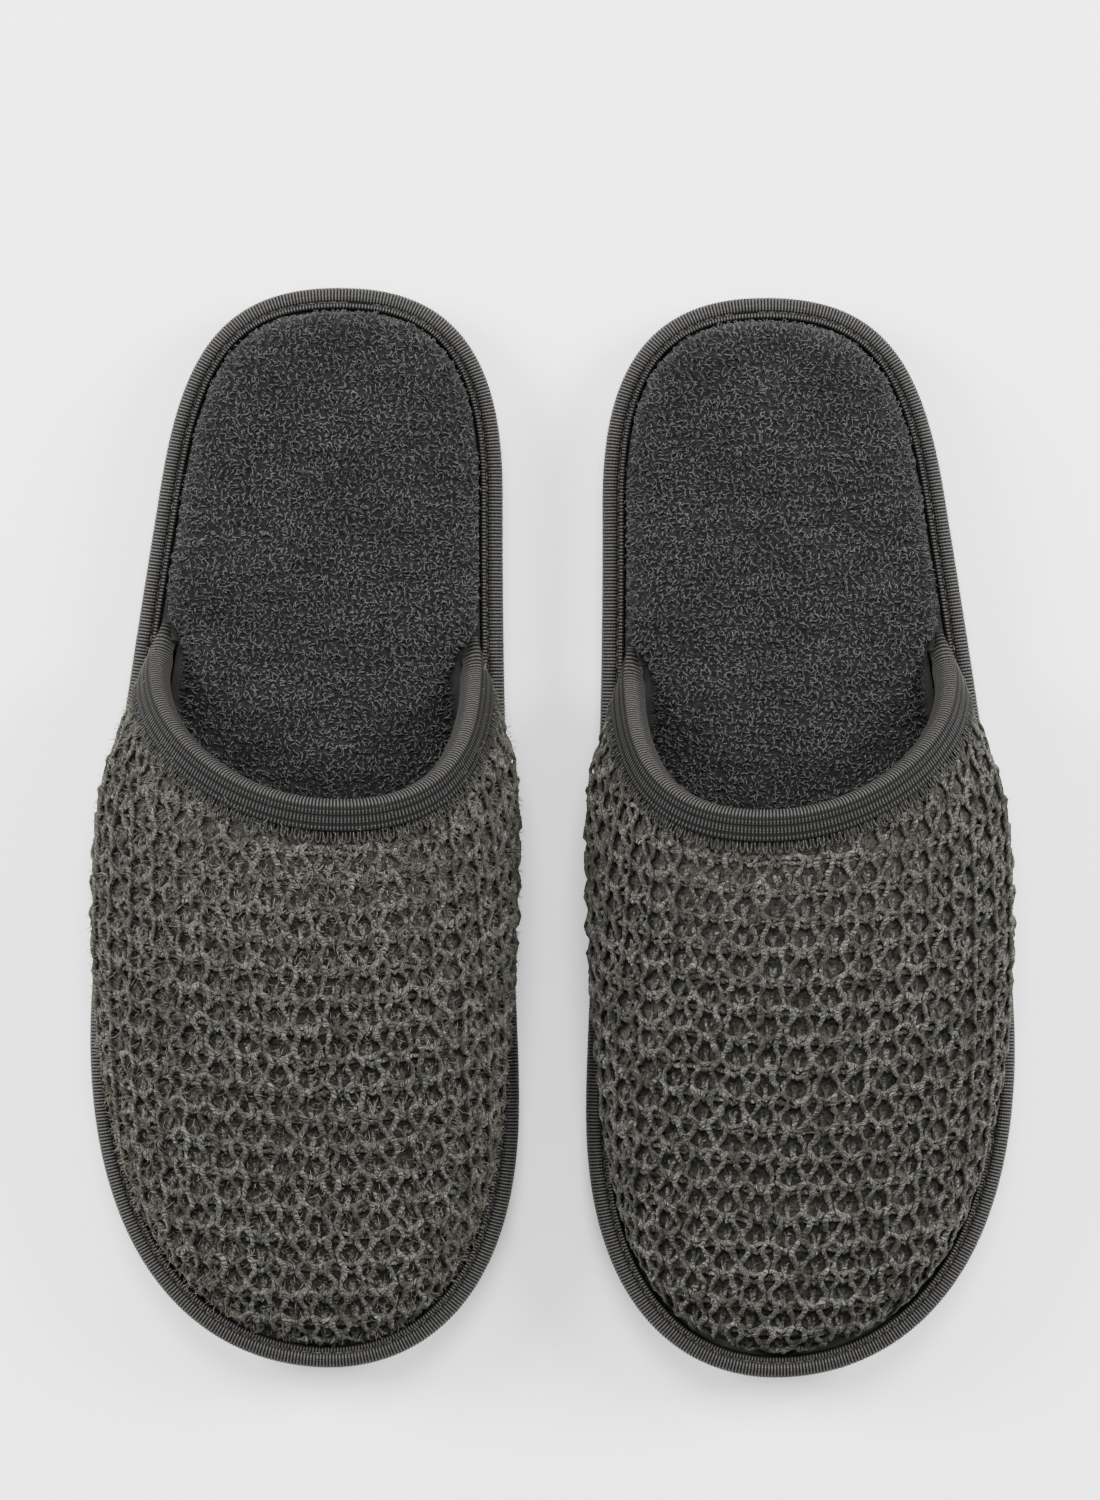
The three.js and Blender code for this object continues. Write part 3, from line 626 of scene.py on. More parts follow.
def wrapped_pattern_tree(name, strands, map_name, stagger=0.0):
    """A tree that repeats short strands over a flat lattice and wraps them round a surface.

    strands holds (points, radius share, steps) in mm. The lattice has its own pitch and turn."""
    tree, web, given, exit_node = new_group(name, "GeometryNodeTree", [
        ("Surface", "Geometry", None), ("Pitch Across", "Float", 0.008),
        ("Pitch Down", "Float", 0.008), ("Columns", "Int", 10), ("Rows", "Int", 10),
        ("Turn", "Float", 0.0), ("Radius", "Float", 0.0006), ("Span", "Float", 0.3),
        ("Slip", "Float", 0.0), ("Waver", "Float", 0.0), ("Seed", "Int", SEED),
        ("Material", "Material", None),
    ], [("Pattern", "Geometry")])
    size_x = web.sum("MULTIPLY", given["Pitch Across"], web.sum("SUBTRACT", given["Columns"], 1.0))
    size_y = web.sum("MULTIPLY", given["Pitch Down"], web.sum("SUBTRACT", given["Rows"], 1.0))
    grid = web.get("GeometryNodeMeshGrid", None, {
        "Size X": size_x, "Size Y": size_y,
        "Vertices X": given["Columns"], "Vertices Y": given["Rows"]})
    turn = web.get("ShaderNodeCombineXYZ", None, {"Z": given["Turn"]})
    rotation = web.get("FunctionNodeEulerToRotation", None, {"Euler": turn})
    if stagger:
        index = web.get("GeometryNodeInputIndex")
        row = web.sum("MODULO", index, given["Rows"])
        odd = web.sum("MODULO", row, 2.0)
        shift = web.sum("MULTIPLY", odd, web.sum("MULTIPLY", given["Pitch Across"], stagger))
        grid = web.get("GeometryNodeSetPosition", None, {
            "Geometry": grid, "Offset": web.get("ShaderNodeCombineXYZ", None, {"X": shift})})
    grid = web.get("GeometryNodeTransform", None, {"Geometry": grid, "Rotation": rotation})
    join = web.add("GeometryNodeJoinGeometry")
    for number, (points, share, steps) in enumerate(strands):
        strand = strand_mesh(web, points, web.sum("MULTIPLY", given["Radius"], share), steps)
        low = web.vector("SCALE", (1.0, 1.0, 0.3))
        web.feed(web.socket(low.node.inputs, "Scale"), web.sum("MULTIPLY", given["Slip"], -1.0))
        high = web.vector("SCALE", (1.0, 1.0, 0.3))
        web.feed(web.socket(high.node.inputs, "Scale"), given["Slip"])
        wander = web.get("FunctionNodeRandomValue", {"data_type": "FLOAT_VECTOR"}, {
            "Min": low, "Max": high, "Seed": web.sum("ADD", given["Seed"], float(number))})
        moved = web.get("GeometryNodeSetPosition", None, {"Geometry": grid, "Offset": wander})
        placed = web.get("GeometryNodeInstanceOnPoints", None, {
            "Points": moved, "Instance": strand, "Rotation": rotation})
        tone = web.get("FunctionNodeRandomValue", {"data_type": "FLOAT"}, {
            "Min": 0.0, "Max": 1.0, "Seed": web.sum("ADD", given["Seed"], 40.0 + number)})
        toned = web.get("GeometryNodeStoreNamedAttribute", {
            "data_type": "FLOAT", "domain": "INSTANCE"}, {
                "Geometry": placed, "Name": "strand_tone", "Value": tone})
        web.tree.links.new(toned, join.inputs[0])
    real = web.get("GeometryNodeRealizeInstances", None, {"Geometry": join.outputs[0]})
    position = web.get("GeometryNodeInputPosition")
    drift = web.get("ShaderNodeTexNoise", {"noise_dimensions": "3D"}, {
        "Vector": position, "Scale": 520.0, "Detail": 1.0}, "Color")
    drift = web.vector("SUBTRACT", drift, (0.5, 0.5, 0.5))
    wavering = web.vector("SCALE", drift)
    web.feed(web.socket(wavering.node.inputs, "Scale"), given["Waver"])
    real = web.get("GeometryNodeSetPosition", None, {"Geometry": real, "Offset": wavering})
    flat = web.vector("SCALE", position)
    web.feed(web.socket(flat.node.inputs, "Scale"), web.sum("DIVIDE", 1.0, given["Span"]))
    where = web.vector("ADD", flat, (0.5, 0.5, 0.0))
    place = sampled(web, given["Surface"], position, "FLOAT_VECTOR", where, map_name)
    out = web.get("GeometryNodeInputNamedAttribute", {"data_type": "FLOAT_VECTOR"}, {"Name": "outward"})
    outward = sampled(web, given["Surface"], out, "FLOAT_VECTOR", where, map_name)
    height = web.get("ShaderNodeSeparateXYZ", None, {"Vector": position}, "Z")
    raised = web.vector("SCALE", web.socket(outward.outputs, "Value"))
    web.feed(web.socket(raised.node.inputs, "Scale"), height)
    target = web.vector("ADD", web.socket(place.outputs, "Value"), raised)
    missing = web.sum("SUBTRACT", 1.0, web.socket(place.outputs, "Is Valid"))
    real = web.get("GeometryNodeStoreNamedAttribute", {"data_type": "FLOAT", "domain": "POINT"}, {
        "Geometry": real, "Name": "missing", "Value": missing})
    island = web.get("GeometryNodeInputMeshIsland", None, None, "Island Index")
    mark = web.get("GeometryNodeInputNamedAttribute", {"data_type": "FLOAT"}, {"Name": "missing"})
    total = web.get("GeometryNodeAccumulateField", {"data_type": "FLOAT", "domain": "POINT"}, {
        "Value": mark, "Group ID": island}, "Total")
    cut = web.get("FunctionNodeCompare", {"data_type": "FLOAT", "operation": "GREATER_THAN"}, {
        "A": total, "B": 0.5})
    wrapped = web.get("GeometryNodeSetPosition", None, {"Geometry": real, "Position": target})
    kept = web.get("GeometryNodeDeleteGeometry", {"domain": "POINT"}, {
        "Geometry": wrapped, "Selection": cut})
    whole = web.get("GeometryNodeRealizeInstances", None, {"Geometry": kept})
    made = web.get("GeometryNodeSetMaterial", None, {"Geometry": whole, "Material": given["Material"]})
    web.feed(exit_node.inputs[0], made)
    web.lay_out()
    return tree


def tuft_tree(name, points, sides, steps):
    """A tree that scatters one small curved fibre over a surface, leaning at random."""
    tree, web, given, exit_node = new_group(name, "GeometryNodeTree", [
        ("Surface", "Geometry", None), ("Density", "Float", 1e6), ("Radius", "Float", 0.0003),
        ("Size Low", "Float", 0.7), ("Size High", "Float", 1.2), ("Lean", "Float", 0.5),
        ("Seed", "Int", SEED), ("Material", "Material", None),
    ], [("Fibres", "Geometry")])
    wanted = web.get("GeometryNodeInputNamedAttribute", {"data_type": "FLOAT"}, {"Name": "covered"})
    scatter = web.add("GeometryNodeDistributePointsOnFaces", {"distribute_method": "RANDOM"}, {
        "Mesh": given["Surface"], "Density": web.sum("MULTIPLY", given["Density"], wanted),
        "Seed": given["Seed"]})
    fibre = strand_mesh(web, points, given["Radius"], steps, sides, taper=True)
    lean = web.get("FunctionNodeRandomValue", {"data_type": "FLOAT_VECTOR"}, {
        "Min": web.get("ShaderNodeCombineXYZ", None, {
            "X": web.sum("MULTIPLY", given["Lean"], -1.0), "Y": web.sum("MULTIPLY", given["Lean"], -1.0)}),
        "Max": web.get("ShaderNodeCombineXYZ", None, {
            "X": given["Lean"], "Y": given["Lean"], "Z": math.tau}),
        "Seed": given["Seed"]})
    rotation = web.get("FunctionNodeRotateRotation", {"rotation_space": "LOCAL"}, {
        "Rotation": web.socket(scatter.outputs, "Rotation"),
        "Rotate By": web.get("FunctionNodeEulerToRotation", None, {"Euler": lean})})
    size = web.get("FunctionNodeRandomValue", {"data_type": "FLOAT"}, {
        "Min": given["Size Low"], "Max": given["Size High"], "Seed": given["Seed"]})
    placed = web.get("GeometryNodeInstanceOnPoints", None, {
        "Points": scatter.outputs["Points"], "Instance": fibre, "Rotation": rotation, "Scale": size})
    tone = web.get("FunctionNodeRandomValue", {"data_type": "FLOAT"}, {
        "Min": 0.0, "Max": 1.0, "Seed": web.sum("ADD", given["Seed"], 5.0)})
    toned = web.get("GeometryNodeStoreNamedAttribute", {"data_type": "FLOAT", "domain": "INSTANCE"}, {
        "Geometry": placed, "Name": "strand_tone", "Value": tone})
    real = web.get("GeometryNodeRealizeInstances", None, {"Geometry": toned})
    made = web.get("GeometryNodeSetMaterial", None, {"Geometry": real, "Material": given["Material"]})
    web.feed(exit_node.inputs[0], made)
    web.lay_out()
    return tree

# ---- Finishes ---------------------------------------------------------------------------------


def attribute_value(web, name):
    """A value stored on the piece's points, for a shader."""
    return web.add("ShaderNodeAttribute", {"attribute_name": name}).outputs["Fac"]


def noise(web, vector, scale, detail=2.0, roughness=0.5, output="Fac"):
    return web.get("ShaderNodeTexNoise", None, {
        "Vector": vector, "Scale": scale, "Detail": detail, "Roughness": roughness}, output)


def spread(web, value, low, high, to_low=0.0, to_high=1.0):
    """Maps low..high to another range and holds it there."""
    return web.get("ShaderNodeMapRange", {"clamp": True}, {
        "Value": value, "From Min": low, "From Max": high, "To Min": to_low, "To Max": to_high})


def blend_colours(web, factor, first, second):
    return web.get("ShaderNodeMix", {"data_type": "RGBA"}, {
        "Factor": factor, "A": first, "B": second}, "Result")


@functools.lru_cache(maxsize=None)
def heather_fibres():
    """Shader group: light and dark fibres that wind along a strand of two twisted plies, with painted shade
    in the groove where the plies meet.
    """
    tree, web, given, exit_node = new_group("Heather fibres", "ShaderNodeTree", [
        ("Dark", "Color", (0.01, 0.01, 0.01, 1)), ("Light", "Color", (0.3, 0.3, 0.3, 1)),
        ("Tint", "Color", (0.2, 0.2, 0.1, 1)), ("Twist", "Float", 420.0),
        ("Streak", "Float", 16.0),
    ], [("Color", "Color"), ("Height", "Float")])
    along = attribute_value(web, "strand_along")
    around = attribute_value(web, "strand_round")
    tone = attribute_value(web, "strand_tone")
    wound = web.sum("ADD", around, web.sum("MULTIPLY", along, given["Twist"]))
    where = web.get("ShaderNodeCombineXYZ", None, {
        "X": web.sum("MULTIPLY", along, 500.0),
        "Y": web.sum("MULTIPLY", wound, given["Streak"]),
        "Z": web.sum("MULTIPLY", tone, 37.0)})
    streaks = noise(web, where, 1.0, 3.0, 0.65)
    place = web.get("ShaderNodeTexCoord", None, None, "Object")
    hairs = noise(web, place, 2600.0, 2.0, 0.6)
    patches = noise(web, place, 260.0, 2.0, 0.5)
    # Painted shade: the colour darkens in the groove between the two plies, which the same value also cuts as
    # relief.
    ply_groove_relief_and_shade = web.sum("ABSOLUTE", web.sum("SINE", web.sum("MULTIPLY", wound, math.tau)))
    light = web.sum("MULTIPLY", spread(web, streaks, 0.4, 0.62), spread(web, hairs, 0.36, 0.6, 0.3, 1.0))
    light = web.sum("MULTIPLY", light, spread(web, ply_groove_relief_and_shade, 0.0, 0.6, 0.15, 1.0))
    light = web.sum("MULTIPLY", light, spread(web, tone, 0.0, 1.0, 0.72, 1.1))
    pale = blend_colours(web, spread(web, patches, 0.42, 0.6), given["Light"], given["Tint"])
    web.feed(exit_node.inputs["Color"], blend_colours(web, light, given["Dark"], pale))
    height = web.sum("ADD", web.sum("MULTIPLY", ply_groove_relief_and_shade, 0.6), web.sum("MULTIPLY", streaks, 0.7))
    web.feed(exit_node.inputs["Height"], height)
    web.lay_out()
    return tree


@functools.lru_cache(maxsize=None)
def woven_ribs():
    """Shader group: a ribbed tape with a painted highlight on its rib crests and painted shade between its
    ribs, and fine threads across its ribs.
    """
    tree, web, given, exit_node = new_group("Woven ribs", "ShaderNodeTree", [
        ("Dark", "Color", (0.01, 0.01, 0.01, 1)), ("Light", "Color", (0.1, 0.1, 0.1, 1)),
        ("Threads", "Float", 1.0),
    ], [("Color", "Color"), ("Height", "Float"), ("Roughness", "Float")])
    crest = attribute_value(web, "crest")
    across = attribute_value(web, "tape_across")
    along = attribute_value(web, "tape_along")
    threads = web.sum("SINE", web.sum("MULTIPLY", across, web.sum("MULTIPLY", given["Threads"], math.tau)))
    where = web.get("ShaderNodeCombineXYZ", None, {
        "X": web.sum("MULTIPLY", along, 0.8), "Y": web.sum("MULTIPLY", across, 3.0)})
    wear = noise(web, where, 1.0, 3.0, 0.6)
    place = web.get("ShaderNodeTexCoord", None, None, "Object")
    fine = noise(web, place, 3200.0, 2.0, 0.6)
    # Painted highlight and shade: the crest value takes the colour from the dark shade between the ribs to
    # the light highlight on their crests.
    light = web.sum("MULTIPLY", spread(web, crest, 0.35, 0.95), spread(web, wear, 0.3, 0.7, 0.4, 1.0))
    light = web.sum("MULTIPLY", light, spread(web, fine, 0.3, 0.65, 0.55, 1.0))
    web.feed(exit_node.inputs["Color"], blend_colours(web, light, given["Dark"], given["Light"]))
    height = web.sum("ADD", web.sum("MULTIPLY", threads, 0.25), web.sum("MULTIPLY", fine, 0.5))
    web.feed(exit_node.inputs["Height"], height)
    web.feed(exit_node.inputs["Roughness"], spread(web, crest, 0.2, 0.9, 0.85, 0.5))
    web.lay_out()
    return tree


@functools.lru_cache(maxsize=None)
def plush_nap():
    """Shader group: short pile that lies this way and that, in clumps, rows and patches."""
    tree, web, given, exit_node = new_group("Plush nap", "ShaderNodeTree", [
        ("Dark", "Color", (0.01, 0.01, 0.01, 1)), ("Light", "Color", (0.1, 0.1, 0.1, 1)),
        ("Clump", "Float", 900.0),
    ], [("Color", "Color"), ("Height", "Float")])
    place = web.get("ShaderNodeTexCoord", None, None, "Object")
    clumps = noise(web, place, given["Clump"], 3.0, 0.6)
    patches = noise(web, place, 45.0, 2.0, 0.5)
    rows = noise(web, web.vector("MULTIPLY", place, (60.0, 420.0, 60.0)), 1.0, 2.0, 0.5)
    light = web.sum("ADD", web.sum("MULTIPLY", spread(web, clumps, 0.34, 0.66), 0.7),
                    web.sum("MULTIPLY", spread(web, rows, 0.35, 0.65), 0.3))
    light = web.sum("MULTIPLY", light, spread(web, patches, 0.3, 0.7, 0.8, 1.1))
    web.feed(exit_node.inputs["Color"], blend_colours(web, light, given["Dark"], given["Light"]))
    web.feed(exit_node.inputs["Height"], clumps)
    web.lay_out()
    return tree


@functools.lru_cache(maxsize=None)
def moulded_grain():
    """Shader group: the fine pebbled skin of moulded foam and rubber."""
    tree, web, given, exit_node = new_group("Moulded grain", "ShaderNodeTree", [
        ("Base", "Color", (0.02, 0.02, 0.02, 1)), ("Scuff", "Color", (0.06, 0.06, 0.06, 1)),
        ("Grain", "Float", 900.0),
    ], [("Color", "Color"), ("Height", "Float"), ("Roughness", "Float")])
    place = web.get("ShaderNodeTexCoord", None, None, "Object")
    pebbles = web.get("ShaderNodeTexVoronoi", {"feature": "F1"}, {
        "Vector": place, "Scale": given["Grain"]}, "Distance")
    dust = noise(web, place, 70.0, 4.0, 0.6)
    scuffed = spread(web, dust, 0.45, 0.75, 0.0, 0.8)
    web.feed(exit_node.inputs["Color"], blend_colours(web, scuffed, given["Base"], given["Scuff"]))
    web.feed(exit_node.inputs["Height"], pebbles)
    web.feed(exit_node.inputs["Roughness"], spread(web, dust, 0.3, 0.7, 0.62, 0.85))
    web.lay_out()
    return tree


def new_finish(name, group, values, depth, strength=1.0, **constants):
    """A material whose colour and relief come from one of the groups above."""
    material = bpy.data.materials.new(name)
    material.use_nodes = True
    web = Web(material.node_tree)
    output = web.add("ShaderNodeOutputMaterial")
    shader = web.add("ShaderNodeBsdfPrincipled")
    effect = web.add("ShaderNodeGroup", {"node_tree": group})
    for socket, value in values.items():
        effect.inputs[socket].default_value = (*value, 1) if hasattr(value, "__len__") else value
    web.tree.links.new(effect.outputs["Color"], shader.inputs["Base Color"])
    bump = web.add("ShaderNodeBump", None, {
        "Height": effect.outputs["Height"], "Distance": depth, "Strength": strength})
    web.tree.links.new(bump.outputs["Normal"], shader.inputs["Normal"])
    if "Roughness" in effect.outputs:
        web.tree.links.new(effect.outputs["Roughness"], shader.inputs["Roughness"])
    for socket, value in constants.items():
        shader.inputs[socket.replace("_", " ")].default_value = value
    web.tree.links.new(shader.outputs["BSDF"], output.inputs["Surface"])
    web.lay_out()
    return material


@functools.lru_cache(maxsize=None)
def finish(name):
    """One of the slippers' finishes by its plain name."""
    paint = bpy.context.scene.slipper_colours
    if name == "waffle yarn":
        return new_finish("Heather waffle yarn", heather_fibres(), {
            "Dark": paint.yarn_dark, "Light": paint.yarn_light, "Tint": paint.yarn_tint},
            0.0006, 1.0, Roughness=0.95, Specular_IOR_Level=0.08, Sheen_Weight=0.04)
    if name == "knit ground":
        return new_finish("Knit ground in shade", plush_nap(), {
            "Dark": paint.pit_dark, "Light": paint.pit_light, "Clump": 1100.0},
            0.0008, 1.0, Roughness=1.0, Specular_IOR_Level=0.05)
    if name == "yarn fuzz":
        return new_finish("Loose yarn fuzz", heather_fibres(), {
            "Dark": paint.yarn_tint, "Light": paint.yarn_light, "Tint": paint.yarn_tint},
            0.0001, 0.5, Roughness=0.9, Specular_IOR_Level=0.1)
    if name == "fleece":
        return new_finish("Plush fleece", plush_nap(), {
            "Dark": paint.fleece_dark, "Light": paint.fleece_light, "Clump": 900.0},
            0.0006, 1.0, Roughness=1.0, Specular_IOR_Level=0.03, Sheen_Weight=0.02)
    if name == "fleece tufts":
        return new_finish("Fleece pile", plush_nap(), {
            "Dark": paint.tuft_dark, "Light": paint.tuft_light, "Clump": 1500.0},
            0.0002, 0.8, Roughness=0.9, Specular_IOR_Level=0.1, Sheen_Weight=0.04)
    if name == "lining plush":
        return new_finish("Plush lining", plush_nap(), {
            "Dark": paint.lining_dark, "Light": paint.lining_light, "Clump": 1000.0},
            0.0006, 1.0, Roughness=1.0, Specular_IOR_Level=0.05)
    # The ribbed tape's colour carries a painted highlight on the rib crests and painted shade between them.
    if name == "ribbed tape":
        return new_finish("Ribbed tape", woven_ribs(), {
            "Dark": paint.tape_rib_shade_and_thread_dark, "Light": paint.tape_crest_highlight, "Threads": 1.4},
            0.00012, 0.9, Specular_IOR_Level=0.15)
    if name == "seam thread":
        return new_finish("Seam thread", heather_fibres(), {
            "Dark": paint.tape_rib_shade_and_thread_dark, "Light": paint.thread, "Tint": paint.thread, "Streak": 6.0},
            0.0001, 0.8, Roughness=0.7, Specular_IOR_Level=0.2)
    if name == "outsole rubber":
        return new_finish("Outsole rubber", moulded_grain(), {
            "Base": paint.rubber, "Scuff": paint.rubber_scuff, "Grain": 1300.0},
            0.00008, 0.6, Specular_IOR_Level=0.4)
    if name == "sole foam":
        return new_finish("Sole foam", moulded_grain(), {
            "Base": paint.foam, "Scuff": paint.foam_shade, "Grain": 1900.0},
            0.0002, 0.8, Specular_IOR_Level=0.2)
    if name == "insole board":
        return new_finish("Insole board", moulded_grain(), {
            "Base": paint.board, "Scuff": paint.foam_shade, "Grain": 2600.0},
            0.00008, 0.5, Specular_IOR_Level=0.2)
    if name == "floor":
        return new_finish("Pale floor", moulded_grain(), {
            "Base": paint.floor, "Scuff": paint.floor, "Grain": 300.0},
            0.00001, 0.1, Specular_IOR_Level=0.1)
    raise ValueError(f"there is no finish called {name}")

# ---- Sizes and colours a user may change ------------------------------------------------------


def length_setting(name, description, millimetres):
    return bpy.props.FloatProperty(
        name=name, description=description, default=millimetres * MM,
        min=0.0, subtype="DISTANCE", unit="LENGTH", precision=5)


def colour_setting(name, description, colour):
    return bpy.props.FloatVectorProperty(
        name=name, description=description, default=colour, size=3, min=0.0, max=1.0,
        subtype="COLOR")


class SlipperSizes(bpy.types.PropertyGroup):
    """Sizes of the knit, tape, pile and tread."""

    cell: length_setting("Waffle cell", "Distance from one waffle cell to the next", 8.1)
    yarn: length_setting("Yarn radius", "Radius of the knitted yarn", 0.76)
    lattice_turn: bpy.props.FloatProperty(
        name="Knit turn", description="How far the knit's columns turn from the slipper's axis",
        default=math.radians(4.0), subtype="ANGLE", unit="ROTATION")
    rib: length_setting("Rib pitch", "Distance from one rib of the tape to the next", 0.9)
    rib_height: length_setting("Rib height", "How far the tape's ribs stand up", 0.26)
    loop_pitch: length_setting("Seam loop pitch", "Distance from one overlock loop to the next", 1.9)
    thread: length_setting("Thread radius", "Radius of the seam thread", 0.22)
    tuft: length_setting("Pile radius", "Radius of one tuft of the fleece", 0.3)
    tuft_density: bpy.props.FloatProperty(
        name="Pile density", description="Tufts of fleece on a square metre",
        default=950000.0, min=0.0)
    fuzz_density: bpy.props.FloatProperty(
        name="Fuzz density", description="Loose fibres on a square metre of knit",
        default=430000.0, min=0.0)
    tread_pitch: length_setting("Tread pitch", "Distance from one tread stud to the next", 9.0)


class SlipperColours(bpy.types.PropertyGroup):
    """Colours of the slippers' finishes."""

    # The dark yarn colour also shows as painted shade in the groove between the plies.
    yarn_dark: colour_setting("Yarn, dark", "Darkest fibres of the yarn", (0.0066, 0.0063, 0.0054))
    yarn_light: colour_setting("Yarn, light", "Lightest fibres of the yarn", (0.2123, 0.2097, 0.1858))
    yarn_tint: colour_setting("Yarn, tint", "Olive fibres of the yarn", (0.0904, 0.0884, 0.0678))
    pit_dark: colour_setting("Pits, dark", "Deepest shade in the waffle", (0.003, 0.003, 0.003))
    pit_light: colour_setting("Pits, light", "Fibres deep in the waffle", (0.0383, 0.0374, 0.0324))
    fleece_dark: colour_setting("Fleece, dark", "Shaded ground of the fleece", (0.0046, 0.0046, 0.0046))
    fleece_light: colour_setting("Fleece, light", "Lit ground of the fleece", (0.0144, 0.0144, 0.0145))
    tuft_dark: colour_setting("Pile, dark", "Darker tufts of the fleece", (0.0085, 0.0086, 0.0087))
    tuft_light: colour_setting("Pile, light", "Lighter tufts of the fleece", (0.0617, 0.0624, 0.0636))
    lining_dark: colour_setting("Lining, dark", "Shaded lining", (0.005, 0.005, 0.005))
    lining_light: colour_setting("Lining, light", "Lit lining", (0.0225, 0.022, 0.0225))
    # Painted shade between the tape's ribs, also the seam thread's dark fibres, and a painted highlight on
    # the ribs' crests.
    tape_rib_shade_and_thread_dark: colour_setting("Tape, dark", "Between the tape's ribs", (0.0008, 0.0008, 0.0007))
    tape_crest_highlight: colour_setting("Tape, light", "Crests of the tape's ribs", (0.0813, 0.0772, 0.0706))
    thread: colour_setting("Seam thread", "Overlock and lockstitch thread", (0.0792, 0.0774, 0.0702))
    rubber: colour_setting("Outsole", "Rubber of the outsole", (0.012, 0.012, 0.012))
    rubber_scuff: colour_setting("Outsole, scuffed", "Dusty rubber", (0.035, 0.034, 0.032))
    foam: colour_setting("Foam", "Midsole foam", (0.05, 0.05, 0.05))
    foam_shade: colour_setting("Foam, shade", "Darker foam", (0.03, 0.03, 0.03))
    board: colour_setting("Board", "Insole board", (0.02, 0.019, 0.018))
    floor: colour_setting("Floor", "The floor under the slippers", (0.9, 0.9, 0.9))

# ---- The sole ---------------------------------------------------------------------------------

OUTSOLE_LEVELS = [(4.0, 0.9), (2.2, 0.95), (1.4, 1.3), (1.2, 2.0), (1.2, 3.0), (1.5, 3.4), (2.4, OUTSOLE_TOP)]
MIDSOLE_PLUG_INSET = 9.0
# The midsole's middle reaches down inside the tape's turned-under edge, so that no light passes.
MIDSOLE_LEVELS = [
    (MIDSOLE_PLUG_INSET, OUTSOLE_TOP + 0.1), (MIDSOLE_PLUG_INSET - 0.2, MIDSOLE_BOTTOM + 0.1),
    (1.9, MIDSOLE_BOTTOM + 0.2),
    (1.5, MIDSOLE_BOTTOM + 0.6), (1.5, 9.6), (1.9, 10.1)]
BOARD_LEVELS = [(1.7, BOARD_BOTTOM), (1.5, BOARD_BOTTOM + 0.3), (1.5, 11.3), (1.7, 11.6)]


def make_sole_plates(slipper):
    """The outsole, the foam midsole and the insole board, each one piece."""
    for name, levels, colour in (
            ("outsole", OUTSOLE_LEVELS, "outsole rubber"),
            ("midsole", MIDSOLE_LEVELS, "sole foam"),
            ("insole_board", BOARD_LEVELS, "insole board")):
        piece = make_piece(slipper, name, *plate(levels, 3.0), finish(colour))
        slipper.bend(piece)
        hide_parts(*slipper.node(f"{name}_front", f"{name}_heel"))


def tread_host(slipper):
    """The outsole's underside as a surface to lay the tread on."""
    along = np.linspace(5, SOLE_LENGTH - 5, 90)
    share = np.linspace(0, 1, 24)
    left = reach_at(OUTER, 5.5, along)
    right = reach_at(INNER, 5.5, along)
    x = left[:, None] + (right - left)[:, None] * share[None]
    y = np.repeat(along[:, None], len(share), 1)
    points = np.stack([x, -y, 1.0 + spring(y)], -1).reshape(-1, 3)
    host = make_piece(slipper, "tread_host", points, grid_faces(90, 24), closed=False)
    add_fabric_map(host, "underside", x, SOLE_LENGTH / 2 - y, 0.4)
    add_values(host, "outward", "FLOAT_VECTOR", slipper.aim(np.tile([0, 0, -1.0], (len(points), 1))))
    return host


def make_tread(slipper, sizes):
    """Short rounded bars in staggered rows under the outsole."""
    bars = [
        (((-2.9, -1.2, 0.0), (-1.2, 0.4, 0.55), (1.2, 0.4, 0.55), (2.9, -1.2, 0.0)), 1.0, 6),
    ]
    tree = wrapped_pattern_tree("Tread bars", bars, "underside", stagger=0.5)
    host = tread_host(slipper)
    tread = grown(host, tree, {
        "Pitch Across": sizes.tread_pitch, "Pitch Down": sizes.tread_pitch * 0.55,
        "Columns": 15, "Rows": 60, "Radius": 0.00042, "Span": 0.4,
    }, "tread", finish("outsole rubber"), slipper)
    bpy.data.objects.remove(host)
    slipper.bend(tread)


class SLIPPERS_OT_sole(bpy.types.Operator):
    """Builds the outsoles with their tread, the midsoles and the insole boards"""

    bl_idname = "slippers.sole"
    bl_label = "Soles"

    def execute(self, context):
        for slipper in both_slippers():
            make_sole_plates(slipper)
            make_tread(slipper, context.scene.slipper_sizes)
        return {"FINISHED"}

# ---- The taped edge of the sole ---------------------------------------------------------------

BINDING_SKIN = [
    (1.0, 3.95), (0.1, 4.5), (-0.05, 6.6), (-0.1, 9.2), (0.1, 11.1),
    (0.6, 12.4), (1.5, 13.35), (2.7, 13.75), (3.6, 13.5), (4.05, 12.95),
    (4.5, 13.15), (5.2, 13.3), (6.1, 12.6)]
BINDING_BACK = [(5.6, 12.15), (1.5, 12.1), (1.2, 5.2), (2.0, 4.5)]
BINDING_GROOVE = 4.05
BINDING_MIDDLE = (3.0, 8.5)
BINDING_RIBS_END = 6
BINDING_RIBS_ABOVE = 12.7
BINDING_STITCH_HEIGHT = 13.05
RIB_STEPS = 4


